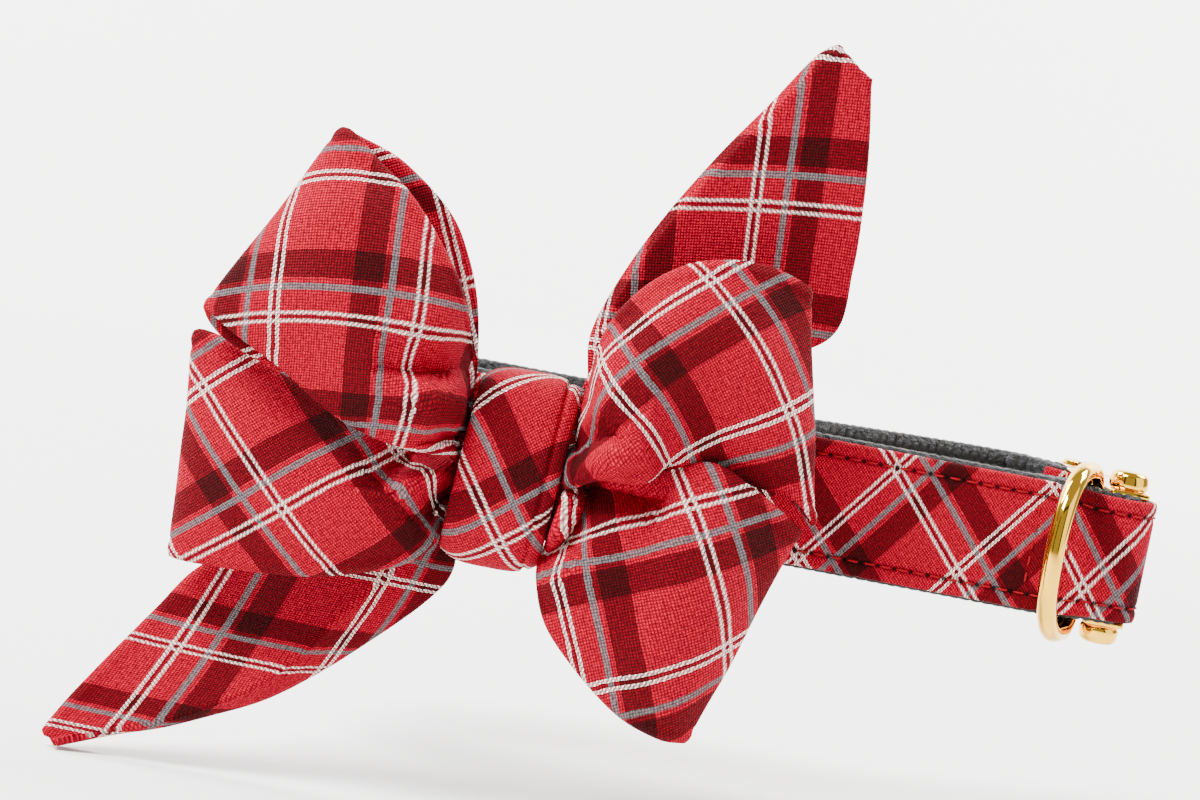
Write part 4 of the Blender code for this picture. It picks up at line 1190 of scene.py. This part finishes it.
class COLLAR_OT_cover(bpy.types.Operator):
    """Make the strap's tartan cover"""
    bl_idname = "collar.cover"
    bl_label = "Strap cover"

    def execute(self, context):
        strap = context.scene.collar_strap
        repeat = context.scene.collar_cloth.repeat
        cloth = tartan("tartan cotton crepe, strap cover", sewn=True)
        line, half, way, groove = cover_path()
        middle = upright_band(line, half, COVER_COLUMNS)
        along = np.broadcast_to(way[:, None], middle.shape[:2])
        flat = np.stack((along, middle[:, :, 2]), -1)
        # The cloth swells over its folded edges and is drawn in along each row of stitches.
        inset = half[:, None] - np.abs(middle[:, :, 2])
        seam = hump(way - way[groove], COVER_SEAM_REACH)[:, None]
        sewn = hump(inset - strap.inset, SEWN_REACH)
        for shift in SEAM_STITCH_SHIFTS:
            row = hump(way - way[groove] - shift, SEWN_REACH)[:, None]
            sewn = np.maximum(sewn, row * (inset > strap.inset))
        between = np.abs(np.sin(math.pi * way[:, None] / strap.stitch))
        sewn = sewn * (1 - HOLE_RELIEF + HOLE_RELIEF * between)
        swell = COVER_HEM_SWELL * hump(inset - COVER_HEM_INSET, COVER_HEM_REACH)
        thick = COVER_THICK * (1 + swell - SEWN_DIP * sewn - COVER_SEAM_DIP * seam)
        stitched = np.stack(((along - strap.inset) / strap.stitch, inset - strap.inset), -1)
        piece = cloth_piece("collar_cover_cloth", middle, thick,
                            plaid_places("collar_cover fold", flat, repeat), cloth,
                            jump=(groove, plaid_places("collar_cover", flat, repeat)),
                            seam=stitched)
        declare(piece, "collar", "cover", "collar_cover")
        return {"FINISHED"}


def stitch_rows(line, half, way, groove):
    """Rows of stitches on the cover: the way along, the side and the height of each stitch."""
    inset = bpy.context.scene.collar_strap.inset
    pitch = bpy.context.scene.collar_strap.stitch
    rows = []
    for side in (-1, 1):
        count = int((way[-1] - 2 * inset) / pitch)
        rows.append([(inset + pitch * (k + 0.5), side, 0.0) for k in range(count)])
    for shift in SEAM_STITCH_SHIFTS:
        count = int(2 * (half[groove] - inset) / pitch)
        start = -(count - 1) / 2 * pitch
        rows.append([(way[groove] + shift, 0, start + pitch * k) for k in range(count)])
    return rows


class COLLAR_OT_stitching(bpy.types.Operator):
    """Sew the cover to the webbing with red thread"""
    bl_idname = "collar.stitching"
    bl_label = "Stitching"

    def execute(self, context):
        strap = context.scene.collar_strap
        line, half, way, groove = cover_path()
        followed = np.concatenate((line, left_of(line), half[:, None]), axis=1)
        points, faces = [], []
        turns = np.arange(STITCH_SIDES) * 2 * math.pi / STITCH_SIDES
        for row in stitch_rows(line, half, way, groove):
            for place_along, side, height in row:
                start = len(points)
                for u in np.linspace(-1, 1, STITCH_RINGS):
                    reach = u * strap.stitch * STITCH_FILL / 2
                    here = place_along + (reach if side else 0.0)
                    x, y, out_x, out_y, half_here = [np.interp(here, way, values)
                                                     for values in followed.T]
                    out = np.array((out_x, out_y, 0.0))
                    across = np.array((0.0, 0.0, 1.0) if side else (out_y, -out_x, 0.0))
                    z = side * (half_here - strap.inset) if side else height + reach
                    # Both ends of a stitch dive into the cloth.
                    swell = (1 - STITCH_END_THICK) * math.sqrt(1 - u ** 4) + STITCH_END_THICK
                    lift = COVER_THICK / 2 + THREAD_RADIUS * (STITCH_RISE - STITCH_DIVE * u * u)
                    centre = np.array((x, y, z)) + out * lift
                    for angle in turns:
                        away = across * math.cos(angle) + out * math.sin(angle)
                        points.append(tuple(centre + away * THREAD_RADIUS * swell))
                rings = [[start + r * STITCH_SIDES + k for k in range(STITCH_SIDES)]
                         for r in range(STITCH_RINGS)]
                for near, far in zip(rings, rings[1:]):
                    for k in range(STITCH_SIDES):
                        after = (k + 1) % STITCH_SIDES
                        faces.append((near[k], near[after], far[after], far[k]))
                faces += [tuple(reversed(rings[0])), tuple(rings[-1])]
        mesh = bpy.data.meshes.new("cover_stitching")
        mesh.from_pydata(points, [], faces)
        face_outwards(mesh)
        piece = place("cover_stitching", mesh, sewing_thread())
        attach(piece, "collar")
        return {"FINISHED"}


class COLLAR_OT_webbing(bpy.types.Operator):
    """Make the knobbly nylon webbing under the cover"""
    bl_idname = "collar.webbing"
    bl_label = "Webbing"

    def execute(self, context):
        knob = context.scene.collar_strap.knob
        line, way = even_plan(strap_plan(), STRAP_STEP)
        half = np.array([width_at(x, STRAP_WIDTH) / 2 for x in line[:, 0]])
        middle = upright_band(line, half, WEBBING_COLUMNS)
        height = middle[:, :, 2] / knob
        stagger = way[:, None] / knob + 0.5 * np.floor(height)
        knobs = np.abs(np.sin(math.pi * stagger) * np.sin(math.pi * height))
        thick = WEBBING_THICK * (WEBBING_GAP_THICK + WEBBING_KNOB * np.sqrt(knobs))
        places = np.stack((stagger, height), -1)
        piece = cloth_piece("collar_webbing_weave", middle, thick, places, nylon_webbing())
        declare(piece, "collar", "webbing", "collar_webbing")
        return {"FINISHED"}


class COLLAR_OT_ring(bpy.types.Operator):
    """Bend the D-ring from round wire"""
    bl_idname = "collar.ring"
    bl_label = "D-ring"

    def execute(self, context):
        arms = RING_CORNER + RING_ARM_LENGTH
        outline = [(0.0, 0.0)]
        outline += arc(RING_CORNER, RING_HALF_HEIGHT - RING_CORNER, RING_CORNER, 180, 90, 12)
        steps = 40
        for k in range(1, steps + 1):
            angle = math.radians(90 - 90 * k / steps)
            outline.append((arms + (RING_REACH - arms) * math.cos(angle) ** RING_FULLNESS,
                            RING_HALF_HEIGHT * math.sin(angle) ** RING_FULLNESS))
        outline += [(reach, -height) for reach, height in reversed(outline[1:-1])]
        lean = math.radians(RING_LEAN_DEG)
        bpy.ops.object.select_all(action="DESELECT")
        bpy.ops.curve.primitive_bezier_circle_add(radius=RING_REACH / 2, location=(0, 0, 0))
        ring = context.object
        curve = ring.data
        curve.splines.clear()
        spline = curve.splines.new("POLY")
        spline.points.add(len(outline) - 1)
        spline.use_cyclic_u = True
        for point, (reach, height) in zip(spline.points, outline):
            point.co = (FRONT_BAR_X - RING_BAR_INSET - reach * math.sin(lean),
                        FRONT_BAR_Y - reach * math.cos(lean), height, 1.0)
        curve.bevel_depth = RING_WIRE_RADIUS
        curve.bevel_resolution = 8
        bpy.ops.object.convert(target="MESH")
        ring.name = "leash_ring_wire"
        bpy.ops.object.shade_smooth()
        ring.data.materials.clear()
        ring.data.materials.append(gold_plate("gold plated wire"))
        declare(ring, "leash_ring", "ring", "d_ring")
        return {"FINISHED"}


def add_block(low, high, rounding, segments=4):
    """A cube primitive between two corners with rounded edges."""
    bpy.ops.object.select_all(action="DESELECT")
    centre = [(a + b) / 2 for a, b in zip(low, high)]
    size = [b - a for a, b in zip(low, high)]
    bpy.ops.mesh.primitive_cube_add(size=1.0, location=centre, scale=size)
    bpy.ops.object.transform_apply(location=True, rotation=False, scale=True)
    if rounding:
        bpy.ops.object.mode_set(mode="EDIT")
        bpy.ops.mesh.select_all(action="SELECT")
        bpy.ops.mesh.bevel(offset=rounding, segments=segments, affect="EDGES")
        bpy.ops.object.mode_set(mode="OBJECT")
    return bpy.context.object


def add_post(x, y, low, high, radius, rounding, narrow=1.0):
    """A round post along Z; narrow draws its far end in, and both ends' edges are rounded."""
    bpy.ops.object.select_all(action="DESELECT")
    bpy.ops.mesh.primitive_cylinder_add(vertices=48, radius=radius, depth=abs(high - low),
                                        location=(x, y, (low + high) / 2))
    bpy.ops.object.transform_apply(location=True, rotation=False, scale=True)
    post = bpy.context.object
    middle = (low + high) / 2
    bpy.ops.object.mode_set(mode="EDIT")
    bpy.ops.mesh.select_all(action="DESELECT")
    builder = bmesh.from_edit_mesh(post.data)
    for face in builder.faces:
        face.select = abs(face.normal.z) > 0.9
    bmesh.update_edit_mesh(post.data)
    if rounding:
        bpy.ops.mesh.bevel(offset=rounding, segments=5, affect="EDGES")
    if narrow != 1.0:
        bpy.ops.mesh.select_all(action="DESELECT")
        builder = bmesh.from_edit_mesh(post.data)
        for vertex in builder.verts:
            vertex.select = (vertex.co.z - middle) * (high - low) > 0
        builder.select_flush(True)
        bmesh.update_edit_mesh(post.data)
        bpy.ops.transform.resize(value=(narrow, narrow, 1.0), center_override=(x, y, high))
    bpy.ops.object.mode_set(mode="OBJECT")
    return post


def joined(name, pieces, material):
    """Several closed shells as one cast piece, shaded by its angles."""
    bpy.ops.object.select_all(action="DESELECT")
    for piece in pieces:
        piece.select_set(True)
    bpy.context.view_layer.objects.active = pieces[0]
    bpy.ops.object.join()
    whole = bpy.context.object
    whole.name = name
    bpy.ops.object.shade_smooth_by_angle(angle=math.radians(SHADE_ANGLE_DEG))
    whole.data.materials.clear()
    whole.data.materials.append(material)
    return whole


def buckle_half(bar_y, toward, body_length, boss_height):
    """The castings of one half: body, cheeks, their bosses and the bar, and where the body ends."""
    cheek_low = STRAP_WIDTH_AT_FOLD / 2 + CLEARANCE
    cheek_high = cheek_low + CHEEK_THICK
    body_near = bar_y + toward * BUCKLE_BODY_REACH
    body_far = body_near + toward * body_length
    half = BODY_THICK / 2
    low_y, high_y = sorted((body_near, body_far))
    pieces = [add_block((FRONT_BAR_X - half, low_y, -cheek_high),
                        (FRONT_BAR_X + half, high_y, cheek_high), BODY_ROUNDING)]
    cheek_y = sorted((bar_y - toward * BOSS_RADIUS, body_near + toward * BODY_ROUNDING * 2))
    for side in (-1, 1):
        low_z, high_z = sorted((side * cheek_low, side * cheek_high))
        pieces.append(add_block((FRONT_BAR_X - CHEEK_LENGTH / 2, cheek_y[0], low_z),
                                (FRONT_BAR_X + CHEEK_LENGTH / 2, cheek_y[1], high_z),
                                CHEEK_ROUNDING, 3))
        pieces.append(add_post(FRONT_BAR_X, bar_y, side * cheek_high - side * CLEARANCE,
                               side * (cheek_high + boss_height), BOSS_RADIUS,
                               boss_height * BOSS_ROUNDING_SHARE, BOSS_NARROWING))
    pieces.append(add_post(FRONT_BAR_X, bar_y, -cheek_high + CLEARANCE, cheek_high - CLEARANCE,
                           BAR_RADIUS, 0.0))
    return pieces, body_far


class COLLAR_OT_buckle(bpy.types.Operator):
    """Cast the two halves of the fastened buckle"""
    bl_idname = "collar.buckle"
    bl_label = "Buckle"

    def execute(self, context):
        pieces, mouth_y = buckle_half(FRONT_BAR_Y, 1, SOCKET_LENGTH, SOCKET_BOSS_HEIGHT)
        body = pieces[0]
        half, reach = MOUTH_THICK / 2, MOUTH_WIDTH / 2
        mouth = add_block((FRONT_BAR_X - half, mouth_y - MOUTH_DEPTH, -reach),
                          (FRONT_BAR_X + half, mouth_y + BODY_ROUNDING, reach), 0.0)
        bpy.ops.object.select_all(action="DESELECT")
        body.select_set(True)
        context.view_layer.objects.active = body
        cut = body.modifiers.new("mouth", "BOOLEAN")
        cut.operation = "DIFFERENCE"
        cut.object = mouth
        bpy.ops.object.modifier_apply(modifier="mouth")
        bpy.data.objects.remove(mouth, do_unlink=True)
        socket = joined("buckle_socket_casting", pieces, gold_plate("gold plated socket"))
        declare(socket, "collar", "buckle", "buckle_socket")
        pieces, shoulder_y = buckle_half(REAR_BAR_Y, -1, TONGUE_BODY_LENGTH, TONGUE_BOSS_HEIGHT)
        half, reach = half - CLEARANCE, reach - CLEARANCE
        pieces.append(add_block((FRONT_BAR_X - half, mouth_y - MOUTH_DEPTH + CLEARANCE, -reach),
                                (FRONT_BAR_X + half, shoulder_y + BODY_ROUNDING * 2, reach),
                                BODY_ROUNDING * 0.5))
        tongue = joined("buckle_tongue_casting", pieces, gold_plate("gold plated tongue"))
        declare(tongue, "collar", "buckle", "buckle_tongue")
        return {"FINISHED"}


class COLLAR_OT_keeper(bpy.types.Operator):
    """Make the elastic keeper that holds the bow to the strap"""
    bl_idname = "collar.keeper"
    bl_label = "Elastic keeper"

    def execute(self, context):
        half = KEEPER_THICK / 2
        low_y = FRONT_STRAND_Y - COVER_OFFSET - COVER_THICK / 2 - CLEARANCE - half
        high_y = FRONT_STRAND_Y + WEBBING_THICK / 2 + CLEARANCE + half
        top = STRAP_WIDTH / 2 + CLEARANCE + half
        corners = ((high_y, top, 0), (low_y, top, 90), (low_y, -top, 180), (high_y, -top, 270))
        outline = []
        for y, z, start in corners:
            turn_y = y - math.copysign(KEEPER_CORNER, y - (low_y + high_y) / 2)
            turn_z = z - math.copysign(KEEPER_CORNER, z)
            outline += arc(turn_y, turn_z, KEEPER_CORNER, start, start + 90, 6)
        line, way = even_plan(outline + outline[:1], KEEPER_STEP)
        across = np.linspace(-1, 1, KEEPER_COLUMNS)
        middle = np.empty((len(line), KEEPER_COLUMNS, 3))
        middle[:, :, 0] = KNOT_X + across * KEEPER_WIDTH / 2
        middle[:, :, 1:] = line[:, None, :]
        # Covered rubber strands stand up as ribs that run round the band.
        ribs = np.abs(np.sin(across * math.pi * KEEPER_RIBS / 2))
        thick = KEEPER_GAP_THICK + (1 - KEEPER_GAP_THICK) * ribs
        thick = KEEPER_THICK * thick * np.ones((len(line), 1))
        piece = cloth_piece("bow_keeper_band", middle, thick, middle[:, :, :2], black_elastic(),
                            ring=True)
        declare(piece, "collar", "elastic", "bow_keeper")
        return {"FINISHED"}


class COLLAR_OT_stage(bpy.types.Operator):
    """Set the pale floor, the soft lights and the camera"""
    bl_idname = "collar.stage"
    bl_label = "Studio"

    def execute(self, context):
        low = CAD_BOX[0][2] - CLEARANCE
        bpy.ops.object.select_all(action="DESELECT")
        bpy.ops.mesh.primitive_plane_add(size=FLOOR_SIZE, location=(0, FLOOR_Y, low))
        floor = context.object
        floor.name = "studio_floor"
        bpy.ops.object.transform_apply(location=True, rotation=False, scale=False)
        bpy.ops.object.mode_set(mode="EDIT")
        bpy.ops.mesh.select_all(action="DESELECT")
        builder = bmesh.from_edit_mesh(floor.data)
        rear = max(vertex.co.y for vertex in builder.verts)
        for edge in builder.edges:
            edge.select = all(vertex.co.y == rear for vertex in edge.verts)
        bmesh.update_edit_mesh(floor.data)
        bpy.ops.mesh.extrude_region_move(TRANSFORM_OT_translate={"value": (0, 0, WALL_HEIGHT)})
        bpy.ops.mesh.select_all(action="DESELECT")
        builder = bmesh.from_edit_mesh(floor.data)
        for edge in builder.edges:
            edge.select = all(v.co.y == rear and v.co.z < low + CLEARANCE for v in edge.verts)
        bmesh.update_edit_mesh(floor.data)
        bpy.ops.mesh.bevel(offset=COVE_RADIUS, segments=32, affect="EDGES")
        bpy.ops.object.mode_set(mode="OBJECT")
        bpy.ops.object.shade_smooth()
        floor.data.materials.append(painted("studio paper", "#FBFAF8"))
        for name, width, height, place_at in CARDS:
            bpy.ops.mesh.primitive_plane_add(size=1.0, location=(0, 0, 0))
            card = context.object
            card.name = name
            card.scale = (width, height, 1)
            card.location = place_at
            card.rotation_euler = (-Vector(place_at)).to_track_quat("Z", "Y").to_euler()
            bpy.ops.object.transform_apply(location=True, rotation=True, scale=True)
            card.data.materials.append(painted("black card", "#101010"))
        for name, energy, size, place_at, aim in LAMPS:
            bpy.ops.object.light_add(type="AREA", location=place_at)
            lamp = context.object
            lamp.name = name
            lamp.data.energy = energy
            lamp.data.size = size
            toward = Vector(aim) - Vector(place_at)
            lamp.rotation_euler = toward.to_track_quat("-Z", "Y").to_euler()
        world = context.scene.world or bpy.data.worlds.new("studio")
        context.scene.world = world
        world.use_nodes = True
        background = world.node_tree.nodes["Background"]
        background.inputs[0].default_value = (*linear("#FFFFFF"), 1)
        background.inputs[1].default_value = WORLD_STRENGTH
        elevation, roll = math.radians(CAMERA_ELEVATION_DEG), math.radians(CAMERA_ROLL_DEG)
        forward = Vector((0, math.cos(elevation), -math.sin(elevation)))
        level = Vector((1, 0, 0))
        raised = level.cross(forward)
        right = level * math.cos(roll) + raised * math.sin(roll)
        up = raised * math.cos(roll) - level * math.sin(roll)
        bpy.ops.object.camera_add(location=CAMERA_AT)
        camera = context.object
        camera.data.lens = CAMERA_LENS
        camera.data.clip_start = 0.01
        turn = np.array((right, up, -forward)).T
        camera.rotation_euler = Matrix(turn.tolist()).to_euler()
        context.scene.camera = camera
        return {"FINISHED"}


class COLLAR_PT_panel(bpy.types.Panel):
    """The collar's sizes and its pieces"""
    bl_label = "Pet bow tie collar"
    bl_idname = "COLLAR_PT_panel"
    bl_space_type = "VIEW_3D"
    bl_region_type = "UI"
    bl_category = "Collar"

    def draw(self, context):
        for settings in (context.scene.collar_cloth, context.scene.collar_strap,
                         context.scene.collar_metal):
            box = self.layout.box()
            for key in settings.bl_rna.properties.keys():
                if key not in ("rna_type", "name"):
                    box.prop(settings, key)
        for operator in OPERATORS:
            self.layout.operator(operator.bl_idname)


SETTINGS = {"collar_cloth": ClothSettings, "collar_strap": StrapSettings,
            "collar_metal": MetalSettings}
OPERATORS = (COLLAR_OT_webbing, COLLAR_OT_cover, COLLAR_OT_stitching, COLLAR_OT_loops,
             COLLAR_OT_tails, COLLAR_OT_knot, COLLAR_OT_keeper, COLLAR_OT_ring, COLLAR_OT_buckle,
             COLLAR_OT_stage)


def register():
    for key, group in SETTINGS.items():
        bpy.utils.register_class(group)
        setattr(bpy.types.Scene, key, PointerProperty(type=group))
    for item in (*OPERATORS, COLLAR_PT_panel):
        bpy.utils.register_class(item)


def unregister():
    for item in (COLLAR_PT_panel, *reversed(OPERATORS)):
        bpy.utils.unregister_class(item)
    for key, group in SETTINGS.items():
        delattr(bpy.types.Scene, key)
        bpy.utils.unregister_class(group)


def main():
    register()
    for operator in OPERATORS:
        group, name = operator.bl_idname.split(".")
        getattr(getattr(bpy.ops, group), name)()


if __name__ == "__main__":
    main()
